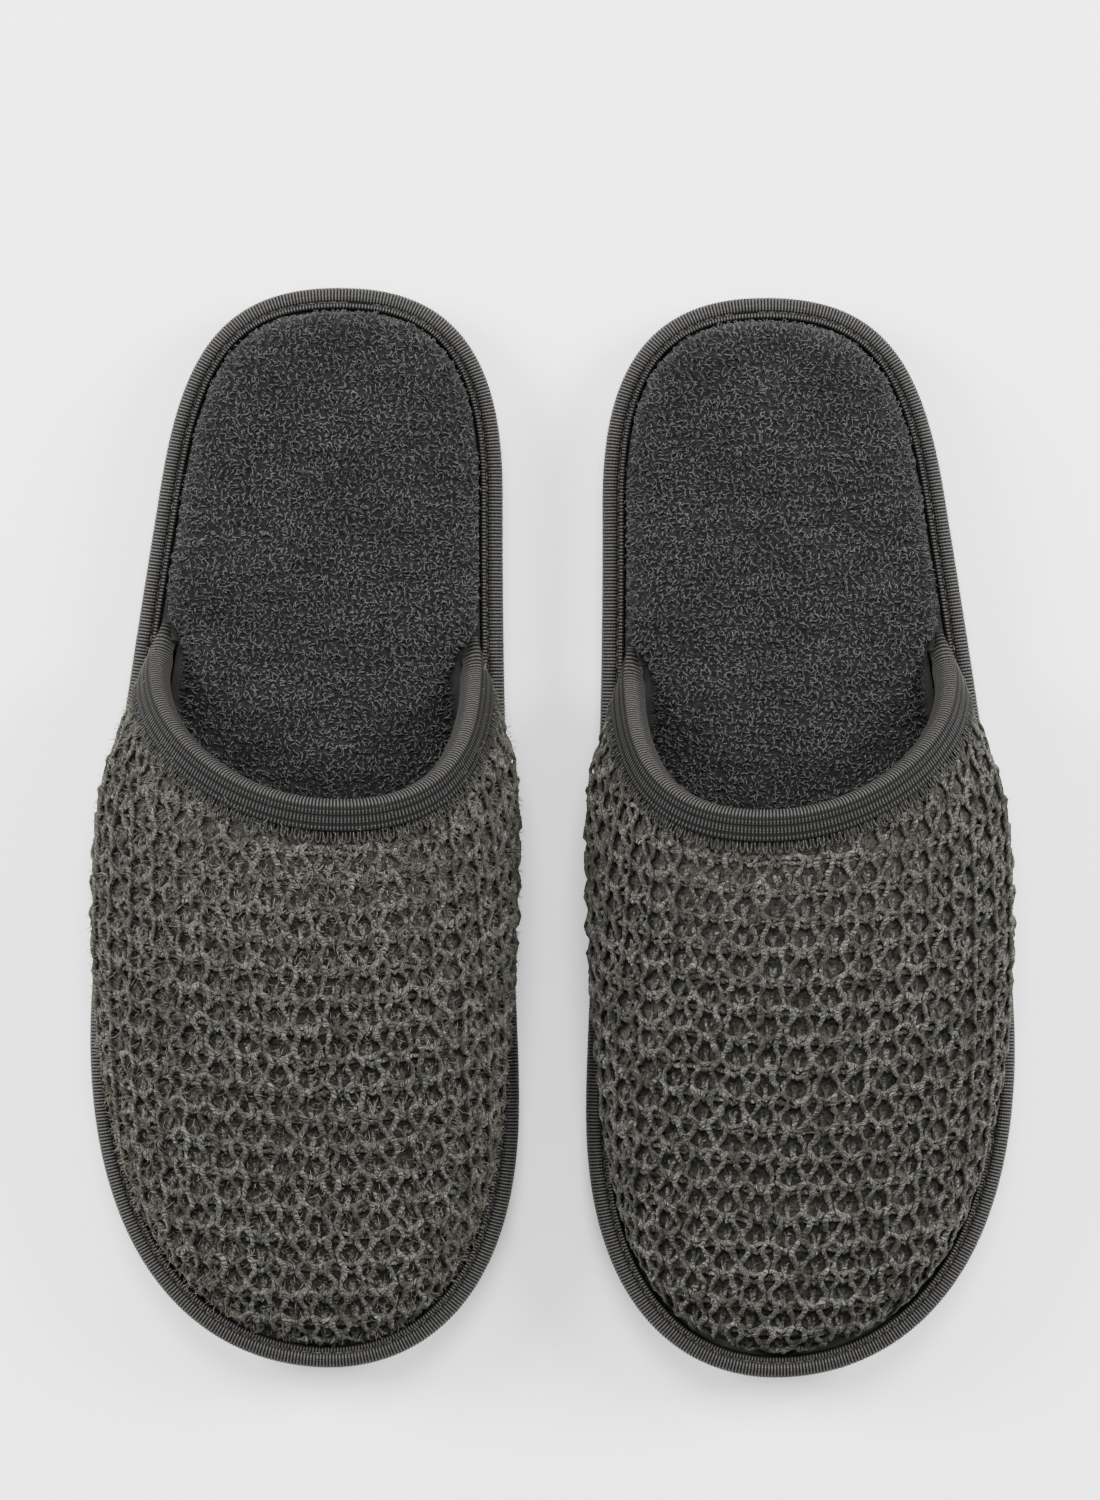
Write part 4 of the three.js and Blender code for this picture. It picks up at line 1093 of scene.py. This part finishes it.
def make_binding(slipper, sizes):
    """The ribbed tape round the sole, with its stitched groove."""
    pitch = sizes.rib / MM
    path, out = rim_path(pitch / RIB_STEPS)
    ribs = round(len(path) / RIB_STEPS)
    skin = np.array(BINDING_SKIN)
    way = np.gradient(skin, axis=0)
    away = np.column_stack([-way[:, 1], way[:, 0]])
    away /= np.linalg.norm(away, axis=1)[:, None]
    away *= np.sign(((skin - np.array(BINDING_MIDDLE)) * away).sum(axis=1))[:, None]
    phase = np.arange(len(path)) / len(path) * ribs
    crest = 0.5 + 0.5 * np.cos(phase * math.tau)
    inner_crest = 0.5 + 0.5 * np.cos((phase + 0.5) * math.tau)
    inner = skin[:, 0] > BINDING_GROOVE
    outer_share = np.where(inner, 0, 1) * np.where(np.abs(skin[:, 0] - BINDING_GROOVE) < 0.1, 0, 1)
    inner_share = np.where(inner & (skin[:, 0] < BINDING_RIBS_END), 1, 0)
    inner_share = inner_share * np.where(skin[:, 1] > BINDING_RIBS_ABOVE, 1, 0)
    height = crest[:, None] * outer_share + inner_crest[:, None] * inner_share
    section = skin[None] + away[None] * (height * sizes.rib_height / MM)[..., None]
    back = np.tile(np.array(BINDING_BACK)[None], (len(path), 1, 1))
    section = np.concatenate([section, back], axis=1)
    flat = path[:, None] - out[:, None] * section[..., :1]
    lift = spring(path[:, 1])[:, None]
    points = np.stack([flat[..., 0], -flat[..., 1], section[..., 1] + lift], -1)
    mesh_points, faces = swept_strip(points, closed=True)
    piece = make_piece(slipper, "sole_binding", mesh_points, faces, finish("ribbed tape"))
    full = np.concatenate([height, np.zeros((len(path), len(BINDING_BACK)))], axis=1)
    # The crest values also paint the tape lighter on the rib tops as a painted highlight and darker between
    # them as painted shade.
    add_values(piece, "crest", "FLOAT", full)
    across = np.tile(np.concatenate([lengths_along(skin), np.zeros(len(BINDING_BACK))]), len(path))
    add_values(piece, "tape_across", "FLOAT", across)
    add_values(piece, "tape_along", "FLOAT", np.repeat(phase, section.shape[1]))
    slipper.bend(piece)
    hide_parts(*slipper.node("sole_binding_front", "sole_binding_heel"))


def make_binding_stitches(slipper, sizes):
    """The lockstitch that lies in the tape's groove."""
    path, out = rim_path(3.0)
    length = lengths_along(path)
    across = np.array([-1.0, -0.3, 0.3, 1.0])
    flat = path[:, None] - out[:, None] * (BINDING_GROOVE + across[None, :, None])
    points = np.stack([flat[..., 0], -flat[..., 1],
                       np.full(flat.shape[:2], BINDING_STITCH_HEIGHT) + spring(path[:, 1])[:, None]], -1)
    host = make_piece(slipper, "stitch_host", points, grid_faces(len(path), 4), closed=False)
    down = np.repeat(across[None], len(path), 0)
    add_fabric_map(host, "groove", np.repeat((length - length[-1] / 2)[:, None], 4, 1), down, 1.0)
    up = np.tile([0, 0, 1.0], (down.size, 1))
    add_values(host, "outward", "FLOAT_VECTOR", slipper.aim(up))
    stitch = [(((-1.25, 0, -0.25), (-0.8, 0, 0.35), (0.8, 0, 0.35), (1.25, 0, -0.25)), 1.0, 6)]
    tree = wrapped_pattern_tree("Lockstitch", stitch, "groove")
    made = grown(host, tree, {
        "Pitch Across": 3.0 * MM, "Pitch Down": 0.01, "Columns": int(length[-1] / 3.0) - 1,
        "Rows": 1, "Radius": sizes.thread * 1.2, "Span": 1.0,
    }, "binding_stitches", finish("seam thread"), slipper)
    bpy.data.objects.remove(host)
    slipper.bend(made)


class SLIPPERS_OT_binding(bpy.types.Operator):
    """Builds the ribbed tape round each sole and its lockstitch"""

    bl_idname = "slippers.binding"
    bl_label = "Sole binding"

    def execute(self, context):
        for slipper in both_slippers():
            make_binding(slipper, context.scene.slipper_sizes)
            make_binding_stitches(slipper, context.scene.slipper_sizes)
        return {"FINISHED"}

# ---- The footbed ------------------------------------------------------------------------------


def cushion_narrowing(along):
    """How much further in the cushion's edge lies where it goes under the upper."""
    return CUSHION_TUCK * smooth(along, 89, 97.5) + 9 * smooth(along, 215, 275)


def inflate(piece, limit):
    """Swells a closed pad under pressure, and holds each point within a limit of its start."""
    before = np.empty(len(piece.data.vertices) * 3)
    piece.data.vertices.foreach_get("co", before)
    cloth = piece.modifiers.new("Swell", "CLOTH")
    cloth.settings.use_pressure = True
    cloth.settings.uniform_pressure_force = 4.0
    cloth.settings.effector_weights.gravity = 0.0
    cloth.settings.quality = 5
    scene = bpy.context.scene
    for step in range(1, 21):
        scene.frame_set(step)
    made = piece.evaluated_get(bpy.context.evaluated_depsgraph_get())
    after = np.empty_like(before)
    made.data.vertices.foreach_get("co", after)
    piece.modifiers.remove(cloth)
    scene.frame_set(1)
    move = (after - before).reshape(-1, 3)
    size = np.linalg.norm(move, axis=1)[:, None]
    move *= np.minimum(1, limit / np.maximum(size, 1e-9))
    piece.data.vertices.foreach_set("co", before + move.ravel())
    piece.data.update()


def apply_modifier(piece, kind, **settings):
    """Adds one modifier, and puts its result into the mesh."""
    modifier = piece.modifiers.new("Shape", kind)
    for name, value in settings.items():
        setattr(modifier, name, value)
    made = piece.evaluated_get(bpy.context.evaluated_depsgraph_get())
    mesh = bpy.data.meshes.new_from_object(made)
    piece.modifiers.clear()
    piece.data = mesh


def make_footbed(slipper):
    """The plush cushion that the foot stands on."""
    levels = [(2.0, 0.25), (0.7, 0.5), (0.3, 1.6), (-0.2, 3.0), (-0.3, 4.2), (0.1, 5.6), (1.0, 6.9),
              (2.4, 7.8), (4.2, 8.3), (7.0, 8.5), (11.0, 8.6), (17.0, 8.7)]
    levels = [(UPPER_INSET - 0.4 + inset, SEAT + z) for inset, z in levels]
    piece = make_piece(slipper, "footbed", *plate(levels, 5.0, cushion_narrowing, crown=0.8))
    apply_modifier(piece, "REMESH", mode="VOXEL", voxel_size=0.0034)
    inflate(piece, 0.0009)
    apply_modifier(piece, "SUBSURF", levels=1)
    co = np.empty(len(piece.data.vertices) * 3)
    piece.data.vertices.foreach_get("co", co)
    co = co.reshape(-1, 3)
    co[:, 2] = np.maximum(co[:, 2], (SEAT + 0.1) * MM)
    piece.data.vertices.foreach_set("co", co.ravel())
    piece.data.shade_smooth()
    piece.data.materials.clear()
    piece.data.materials.append(finish("fleece"))
    return piece


def along_of(slipper, piece):
    """Each point's distance from the slipper's heel end, and how far it faces up."""
    count = len(piece.data.vertices)
    co = np.empty(count * 3)
    piece.data.vertices.foreach_get("co", co)
    heel, ahead = slipper.place([[0, 0, 0], [0, -1000, 0]])
    along = (co.reshape(-1, 3) - heel) @ (ahead - heel) / MM
    up = np.empty(count * 3)
    piece.data.vertices.foreach_get("normal", up)
    return along, up.reshape(-1, 3)[:, 2]


def make_pile(slipper, footbed, sizes):
    """Short curly tufts all over the part of the cushion that shows."""
    curl = [(0, 0, -0.3), (-0.1, 0, 1.0), (0.5, 0, 1.5), (1.2, 0, 0.9)]
    tree = tuft_tree("Fleece pile", curl, 3, 3)
    along, up = along_of(slipper, footbed)
    facing = smooth(up, -0.5, 0.1)
    for part, near, far in (("heel", -50, FLEX_AT), ("front", FLEX_AT, 165)):
        host = footbed.copy()
        host.data = footbed.data.copy()
        bpy.context.collection.objects.link(host)
        covered = facing * smooth(along, near - 0.1, near + 0.1) * (1 - smooth(along, far - 0.1, far + 0.1))
        add_values(host, "covered", "FLOAT", covered)
        tufts = grown(host, tree, {
            "Density": sizes.tuft_density, "Radius": sizes.tuft, "Size Low": 0.65,
            "Size High": 1.15, "Lean": 0.55, "Seed": SEED + (part == "front"),
        }, f"fleece_pile_{part}", finish("fleece tufts"), slipper)
        bpy.data.objects.remove(host)
        slipper.bend(tufts)


class SLIPPERS_OT_footbed(bpy.types.Operator):
    """Builds the plush footbeds and their pile"""

    bl_idname = "slippers.footbed"
    bl_label = "Footbeds"

    def execute(self, context):
        for slipper in both_slippers():
            footbed = make_footbed(slipper)
            make_pile(slipper, footbed, context.scene.slipper_sizes)
            slipper.bend(footbed)
            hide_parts(*slipper.node(
                "footbed_cover_front", "footbed_cover_heel",
                "footbed_foam_front", "footbed_foam_heel"))
        return {"FINISHED"}

# ---- The upper --------------------------------------------------------------------------------

AROUND_STEPS = 261
UP_STEPS = 91
FABRIC_SPAN = 0.28
FABRIC_SHIFT = 60.0
ROW_SWEEP = 0.003


@functools.lru_cache(maxsize=None)
def fabric_chart():
    """The knit laid flat: for each point of the upper's grid, how far across from the ridge it
    lies and how far down from the throat, measured on the surface."""
    around, up = np.meshgrid(
        np.linspace(0, 1, AROUND_STEPS), np.linspace(0, 1, UP_STEPS), indexing="ij")
    top = upper_face(around, up)
    middle = AROUND_STEPS // 2
    ridge = top[middle]
    ridge_run = lengths_along(ridge[::-1])[::-1]
    across = np.zeros_like(around)
    for side, rows, back in ((OUTER, top[:middle + 1], False), (INNER, top[middle:][::-1], True)):
        forward = np.maximum.accumulate(rows[..., 1], axis=0)
        for level in range(UP_STEPS):
            at = forward[:, level]
            girth, to_ridge = np.zeros(len(at)), np.zeros(len(at))
            previous = None
            for other in range(UP_STEPS):
                point = np.column_stack([
                    np.interp(at, forward[:, other], rows[:, other, c]) for c in (0, 2)])
                past = at > forward[-1, other]
                point[past] = np.column_stack([
                    np.interp(at[past], ridge[::-1, 1], ridge[::-1, c]) for c in (0, 2)])
                if previous is not None:
                    step = np.linalg.norm(point - previous, axis=1)
                    girth += step
                    to_ridge += step * (other > level)
                previous = point
            if level == 0:
                whole = at >= THROAT_AT + 4
                slope = np.polyfit(at[whole][:10], girth[whole][:10], 1)[0]
                first, full = at[whole][0], girth[whole][0]
            short = np.where(at < first, full + slope * (at - first) - girth, 0)
            flat = side["sign"] * (to_ridge + short)
            if back:
                across[middle:, level] = flat[::-1]
            else:
                across[:middle + 1, level] = flat
    ahead = np.interp(top[..., 1], ridge[::-1, 1], ridge_run[::-1])
    down = np.where(top[..., 1] < THROAT_AT, top[..., 1] - THROAT_AT, ahead)
    down = down + ROW_SWEEP * across ** 2
    return around, up, across, -down


def fabric_host(slipper):
    """The inner face of the knit, with its flat map and its thickness, to wrap yarn round."""
    around, up, across, down = fabric_chart()
    points = upper_layer(around, up, KNIT_THICKNESS)
    host = make_piece(slipper, "fabric_host", points.reshape(-1, 3),
                      grid_faces(AROUND_STEPS, UP_STEPS), closed=False)
    add_fabric_map(host, "fabric", across, down + FABRIC_SHIFT, FABRIC_SPAN)
    face = as_space(upper_face(around, up))
    outward = upper_normal(around, up) * fullness(around, up, face[..., 2])[..., None]
    add_values(host, "outward", "FLOAT_VECTOR", slipper.aim(outward))
    return host


def lattice_place(across, down, cell, turn):
    """Where a point of the flat knit lies between waffle columns and rows, in turns."""
    cos, sin = math.cos(turn), math.sin(turn)
    return ((across * cos + down * sin) / cell, (down * cos - across * sin) / cell)


def make_knit_ground(slipper, sizes):
    """The shaded back of the knit, dimpled under each waffle cell."""
    around, up, across, down = fabric_chart()
    column, row = lattice_place(across, down + FABRIC_SHIFT, sizes.cell / MM, sizes.lattice_turn)
    ridge = np.maximum(np.cos(row * math.pi) ** 4, 0.6 * np.cos(column * math.pi) ** 4)
    height = (0.25 + 0.3 * ridge) * KNIT_THICKNESS
    outer = upper_layer(around, up, KNIT_THICKNESS - height)
    inner = upper_layer(around, up, KNIT_THICKNESS, 0.1)
    piece = make_piece(slipper, "knit_ground", *shell(outer, inner), finish("knit ground"))
    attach(piece, slipper.body)
    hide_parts(*slipper.node("upper_knit"))


def make_lining(slipper):
    """The plush lining with its thin padding, one soft layer inside the knit."""
    around, up = np.meshgrid(np.linspace(0, 1, 181), np.linspace(0, 1, 61), indexing="ij")
    outer = upper_layer(around, up, KNIT_THICKNESS, LAYER_GAP)
    wave = 0.12 * np.sin(around * 260 + np.sin(up * 9) * 2) * np.sin(up * 95 + around * 30)
    inner = upper_layer(around, up, UPPER_BUILD + wave, 2 * LAYER_GAP)
    piece = make_piece(slipper, "lining", *shell(outer, inner), finish("lining plush"))
    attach(piece, slipper.body)
    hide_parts(*slipper.node("upper_lining", "upper_padding"))


class SLIPPERS_OT_upper(bpy.types.Operator):
    """Builds the back of the knit and the plush lining"""

    bl_idname = "slippers.upper"
    bl_label = "Uppers"

    def execute(self, context):
        for slipper in both_slippers():
            make_knit_ground(slipper, context.scene.slipper_sizes)
            make_lining(slipper)
        return {"FINISHED"}


def mirrored(strands):
    """Strands and their mirror images across the waffle column."""
    flipped = [(tuple((-x, y, z) for x, y, z in points), share, steps)
               for points, share, steps in strands]
    return strands + flipped


WAFFLE_LOOPS = mirrored([
    (((-0.3, 1.9, 2.3), (-3.5, 0.3, 3.6), (-2.1, -2.7, 2.5), (-0.5, -4.4, 1.8)), 1.0, 7),
    (((-0.65, 4.3, 1.7), (-0.8, 3.2, 2.5), (-0.45, 2.2, 2.5), (-0.5, 0.9, 1.9)), 0.85, 4),
])
WAFFLE_RIDGES = mirrored([
    (((-4.3, -0.2, 2.3), (-2.8, 0.6, 2.6), (-1.5, 0.7, 1.5), (0.2, 0.5, 1.4)), 0.95, 5),
    (((-4.3, -1.5, 2.0), (-2.8, -0.9, 2.2), (-1.6, -0.7, 1.8), (0.2, -0.7, 1.4)), 0.9, 5),
    (((-3.2, 3.6, 0.5), (-3.7, 2.4, 1.1), (-3.9, 1.6, 1.4), (-4.0, 0.4, 1.9)), 0.75, 4),
])


def make_waffle(slipper, host, sizes):
    """The knitted waffle: looped columns, and the floats and ribs between them."""
    for name, strands in (("waffle_loops", WAFFLE_LOOPS), ("waffle_ridges", WAFFLE_RIDGES)):
        tree = wrapped_pattern_tree(name.replace("_", " ").capitalize(), strands, "fabric")
        yarn = grown(host, tree, {
            "Pitch Across": sizes.cell, "Pitch Down": sizes.cell, "Columns": 31, "Rows": 31,
            "Turn": sizes.lattice_turn, "Radius": sizes.yarn, "Span": FABRIC_SPAN,
            "Slip": 0.00035, "Waver": 0.0022,
        }, name, finish("waffle yarn"), slipper)
        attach(yarn, slipper.body)


def make_fuzz(slipper, host, sizes):
    """Loose fibres that stand off the yarn."""
    hair = [(0, 0, 1.2), (1.4, 0, 2.6), (0.2, 0.9, 3.5), (1.6, 0.5, 3.3)]
    tree = tuft_tree("Yarn fuzz", hair, 3, 2)
    up = fabric_chart()[1]
    add_values(host, "covered", "FLOAT", 1 - smooth(up, 0.93, 1.0))
    fuzz = grown(host, tree, {
        "Density": sizes.fuzz_density, "Radius": 0.00012, "Size Low": 0.7, "Size High": 1.1,
        "Lean": 0.25,
    }, "yarn_fuzz", finish("yarn fuzz"), slipper)
    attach(fuzz, slipper.body)


class SLIPPERS_OT_knit(bpy.types.Operator):
    """Knits the waffle yarn over each upper"""

    bl_idname = "slippers.knit"
    bl_label = "Waffle knit"

    def execute(self, context):
        sizes = context.scene.slipper_sizes
        for slipper in both_slippers():
            host = fabric_host(slipper)
            make_waffle(slipper, host, sizes)
            make_fuzz(slipper, host, sizes)
            bpy.data.objects.remove(host)
        return {"FINISHED"}

# ---- The collar -------------------------------------------------------------------------------

TAPE_CLEAR = 0.4
TUCK_LENGTH = 11.0
TUCK_BACK = 6.0
FOLD_CLEAR = 0.9
INSIDE_CLEAR = 2 * LAYER_GAP + 0.1


def collar_stations(pitch):
    """Places round the collar edge a pitch apart, and how far along the edge they lie."""
    around = np.linspace(0, 1, 1201)
    edge = upper_face(around, np.ones_like(around))
    length = lengths_along(edge)
    along = np.linspace(0, length[-1], int(length[-1] / pitch) + 1)
    return np.interp(along, length, around), along


def tucked_ends(sections, along):
    """Leads both ends of the tape back and down between the cushion and the sole's tape."""
    from_end = np.minimum(along, along[-1] - along)
    share = (1 - smooth(from_end, 0, TUCK_LENGTH))[:, None, None] ** 1.5
    centre = sections.mean(axis=1, keepdims=True)
    sections = centre + (sections - centre) * (1 - 0.7 * share)
    sections[..., 1] += TUCK_BACK * share[..., 0]
    floor = SEAT + 0.3
    sections[..., 2] += (floor - sections[..., 2]) * 0.75 * share[..., 0]
    return sections


def collar_place(around, along, distance):
    """Where on the face the points square to the collar edge lie, a distance down from it."""
    ones = np.ones_like(around)
    edge = as_space(upper_face(around, ones))
    way = np.gradient(edge, axis=0)
    way /= np.linalg.norm(way, axis=1)[:, None]
    down = as_space(upper_face(around, ones * 0.96)) - edge
    down /= np.linalg.norm(down, axis=1)[:, None]
    lean = np.clip((down * way).sum(axis=1), -0.8, 0.8)
    straight = np.sqrt(1 - lean ** 2)
    moved = np.clip(along - distance * lean / straight, 0, along[-1])
    place = np.interp(moved, along, around)
    return place, up_at_distance(place, distance / straight)


def make_collar_tape(slipper, sizes):
    """The ribbed tape folded over the collar edge."""
    pitch = sizes.rib / MM
    around, along = collar_stations(pitch / 4)
    ones = np.ones_like(around)
    width = tape_width(around)
    outside = [collar_place(around, along, width * share) for share in np.linspace(1, 0, 11)]
    inside = [collar_place(around, along, width * share) for share in np.linspace(0, 1, 6)]
    outer = [upper_layer(*place, 0, -TAPE_CLEAR - 0.85) for place in outside]
    inner = [upper_layer(*place, UPPER_BUILD, INSIDE_CLEAR + 0.9) for place in inside]
    onward = as_space(upper_face(around, ones) - upper_face(around, ones * 0.97))
    onward /= np.linalg.norm(onward, axis=1)[:, None]
    middle, half = (outer[-1] + inner[0]) / 2, (outer[-1] - inner[0]) / 2
    fold = [middle + half * math.cos(angle) + onward * (FOLD_CLEAR + 0.9) * math.sin(angle)
            for angle in np.linspace(0, math.pi, 8)[1:-1]]
    normal = upper_normal(around, ones)
    skin = np.stack(outer + fold + inner, axis=1)
    away = [upper_normal(*place) for place in outside]
    for angle in np.linspace(0, math.pi, 8)[1:-1]:
        away.append(normal * math.cos(angle) + onward * math.sin(angle))
    away += [-normal] * len(inner)
    away = np.stack(away, axis=1)
    crest = 0.5 + 0.5 * np.cos(along / pitch * math.tau)
    lines = np.ones(skin.shape[1])
    lines[[0, 3, 7]] = 0.35
    lines[10] = 0.5
    lines[11:14] = 1.25
    height = crest[:, None] * lines[None]
    skin = skin + away * (height * sizes.rib_height / MM)[..., None]
    back = [upper_layer(*inside[k], UPPER_BUILD, INSIDE_CLEAR) for k in (5, 2, 0)]
    back += [upper_layer(*outside[k], 0, -TAPE_CLEAR) for k in (10, 5, 0)]
    sections = tucked_ends(np.concatenate([skin, np.stack(back, axis=1)], axis=1), along)
    points, faces = swept_strip(sections, closed=False)
    piece = make_piece(slipper, "collar_tape", points, faces, finish("ribbed tape"))
    none = np.zeros((len(around), len(back)))
    # The crest values also paint the tape lighter on the rib tops as a painted highlight and darker between
    # them as painted shade.
    add_values(piece, "crest", "FLOAT", np.concatenate([height / 1.25, none], axis=1))
    across = lengths_along(skin[len(around) // 2])
    across = np.tile(np.concatenate([across, none[0]]), len(around))
    add_values(piece, "tape_across", "FLOAT", across)
    add_values(piece, "tape_along", "FLOAT", np.repeat(along, sections.shape[1]))
    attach(piece, slipper.body)
    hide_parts(*slipper.node("collar_binding"))


def make_overlock(slipper, sizes):
    """Narrow thread loops that hang from the tape's lower edge onto the knit."""
    around, along = collar_stations(1.0)
    around, along = around[6:-6], along[6:-6]
    width = tape_width(around)
    across = np.linspace(-1.5, 4.5, 9)
    places = [collar_place(around, along, width + step) for step in across]
    points = np.stack([upper_layer(*place, 0, -0.15) for place in places], axis=1)
    outward = np.stack([upper_normal(*place) for place in places], axis=1)
    host = make_piece(slipper, "seam_host", points.reshape(-1, 3),
                      grid_faces(len(around), len(across)), closed=False)
    edge = lengths_along(points[:, 4])
    add_fabric_map(host, "seam", np.repeat((edge - edge[-1] / 2)[:, None], len(across), 1),
                   np.repeat(-across[None], len(around), 0), 0.4)
    add_values(host, "outward", "FLOAT_VECTOR", slipper.aim(outward))
    loop = [(((-0.55, 0.9, 0.5), (-0.95, -4.3, 1.0), (0.95, -4.3, 1.0), (0.55, 0.9, 0.5)), 1.0, 12)]
    tree = wrapped_pattern_tree("Overlock loops", loop, "seam")
    loops = grown(host, tree, {
        "Pitch Across": sizes.loop_pitch, "Pitch Down": 0.01,
        "Columns": int(edge[-1] * MM / sizes.loop_pitch) - 1, "Rows": 1,
        "Radius": sizes.thread, "Span": 0.4, "Slip": 0.0002,
    }, "overlock_loops", finish("seam thread"), slipper)
    bpy.data.objects.remove(host)
    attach(loops, slipper.body)
    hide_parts(*slipper.node("collar_stitching"))


class SLIPPERS_OT_collar(bpy.types.Operator):
    """Builds the ribbed tape over each collar and its overlock seam"""

    bl_idname = "slippers.collar"
    bl_label = "Collars"

    def execute(self, context):
        for slipper in both_slippers():
            make_collar_tape(slipper, context.scene.slipper_sizes)
            make_overlock(slipper, context.scene.slipper_sizes)
        return {"FINISHED"}

# ---- Floor, lights and camera -----------------------------------------------------------------

VIEW_HEIGHT = 1.5
VIEW_CENTRE = (-0.0007, 0.0218)
VIEW_REACH = 0.402
SENSOR = 36.0


def soft_light(name, place, aim, size, power):
    """A square studio softbox that faces a point."""
    light = bpy.data.lights.new(name, "AREA")
    light.shape = "SQUARE"
    light.size = size
    light.energy = power
    lamp = bpy.data.objects.new(name, light)
    lamp.location = place
    lamp.rotation_euler = (Vector(aim) - Vector(place)).to_track_quat("-Z", "Y").to_euler()
    bpy.context.collection.objects.link(lamp)


class SLIPPERS_OT_stage(bpy.types.Operator):
    """Sets up the pale floor, the studio light and the camera above the pair"""

    bl_idname = "slippers.stage"
    bl_label = "Stage"

    def execute(self, context):
        mesh = bpy.data.meshes.new("floor")
        reach = 6.0
        mesh.from_pydata(
            [(-reach, -reach, 0), (reach, -reach, 0), (reach, reach, 0), (-reach, reach, 0)],
            [], [(0, 1, 2, 3)])
        mesh.materials.append(finish("floor"))
        floor = bpy.data.objects.new("floor", mesh)
        context.collection.objects.link(floor)
        floor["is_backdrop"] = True
        world = bpy.data.worlds.new("Studio")
        context.scene.world = world
        world.use_nodes = True
        world.node_tree.nodes["Background"].inputs["Color"].default_value = (1, 1, 1, 1)
        world.node_tree.nodes["Background"].inputs["Strength"].default_value = 0.75
        soft_light("left softbox", (-1.6, 0.6, 1.0), (0, 0, 0), 0.8, 100)
        soft_light("right softbox", (1.6, 0.6, 1.0), (0, 0, 0), 0.8, 100)
        soft_light("overhead softbox", (0, 1.1, 2.1), (0, 0, 0), 1.0, 90)
        camera = bpy.data.cameras.new("camera")
        camera.sensor_fit = "VERTICAL"
        camera.sensor_height = SENSOR
        camera.lens = SENSOR * (VIEW_HEIGHT - 0.02) / VIEW_REACH
        camera.clip_end = 20
        eye = bpy.data.objects.new("camera", camera)
        eye.location = (*VIEW_CENTRE, VIEW_HEIGHT)
        context.collection.objects.link(eye)
        context.scene.camera = eye
        return {"FINISHED"}


class SLIPPERS_PT_panel(bpy.types.Panel):
    """Lists the slippers' pieces in the order they are made"""

    bl_idname = "SLIPPERS_PT_panel"
    bl_label = "Spa slippers"
    bl_space_type = "VIEW_3D"
    bl_region_type = "UI"
    bl_category = "Slippers"

    def draw(self, context):
        for operator in OPERATORS:
            self.layout.operator(operator.bl_idname)
        for settings in (context.scene.slipper_sizes, context.scene.slipper_colours):
            for name in settings.__annotations__:
                self.layout.prop(settings, name)


OPERATORS = (
    SLIPPERS_OT_stage, SLIPPERS_OT_sole, SLIPPERS_OT_binding, SLIPPERS_OT_footbed,
    SLIPPERS_OT_upper, SLIPPERS_OT_knit, SLIPPERS_OT_collar)
CLASSES = (SlipperSizes, SlipperColours, *OPERATORS, SLIPPERS_PT_panel)


def register():
    for cls in CLASSES:
        bpy.utils.register_class(cls)
    bpy.types.Scene.slipper_sizes = bpy.props.PointerProperty(type=SlipperSizes)
    bpy.types.Scene.slipper_colours = bpy.props.PointerProperty(type=SlipperColours)


def unregister():
    del bpy.types.Scene.slipper_sizes
    del bpy.types.Scene.slipper_colours
    for cls in reversed(CLASSES):
        bpy.utils.unregister_class(cls)


def main():
    """Builds the pair piece by piece, and measures the size before and after."""
    register()
    bpy.ops.slippers.stage()
    bpy.ops.slippers.sole()
    bpy.ops.slippers.binding()
    bpy.ops.slippers.footbed()
    bpy.ops.slippers.upper()
    bpy.ops.slippers.knit()
    bpy.ops.slippers.collar()
    sizes = {"cad": CAD_BOX, "visual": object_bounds()}
    sizes = {name: [[float(c) for c in corner] for corner in box] for name, box in sizes.items()}


if __name__ == "__main__":
    main()
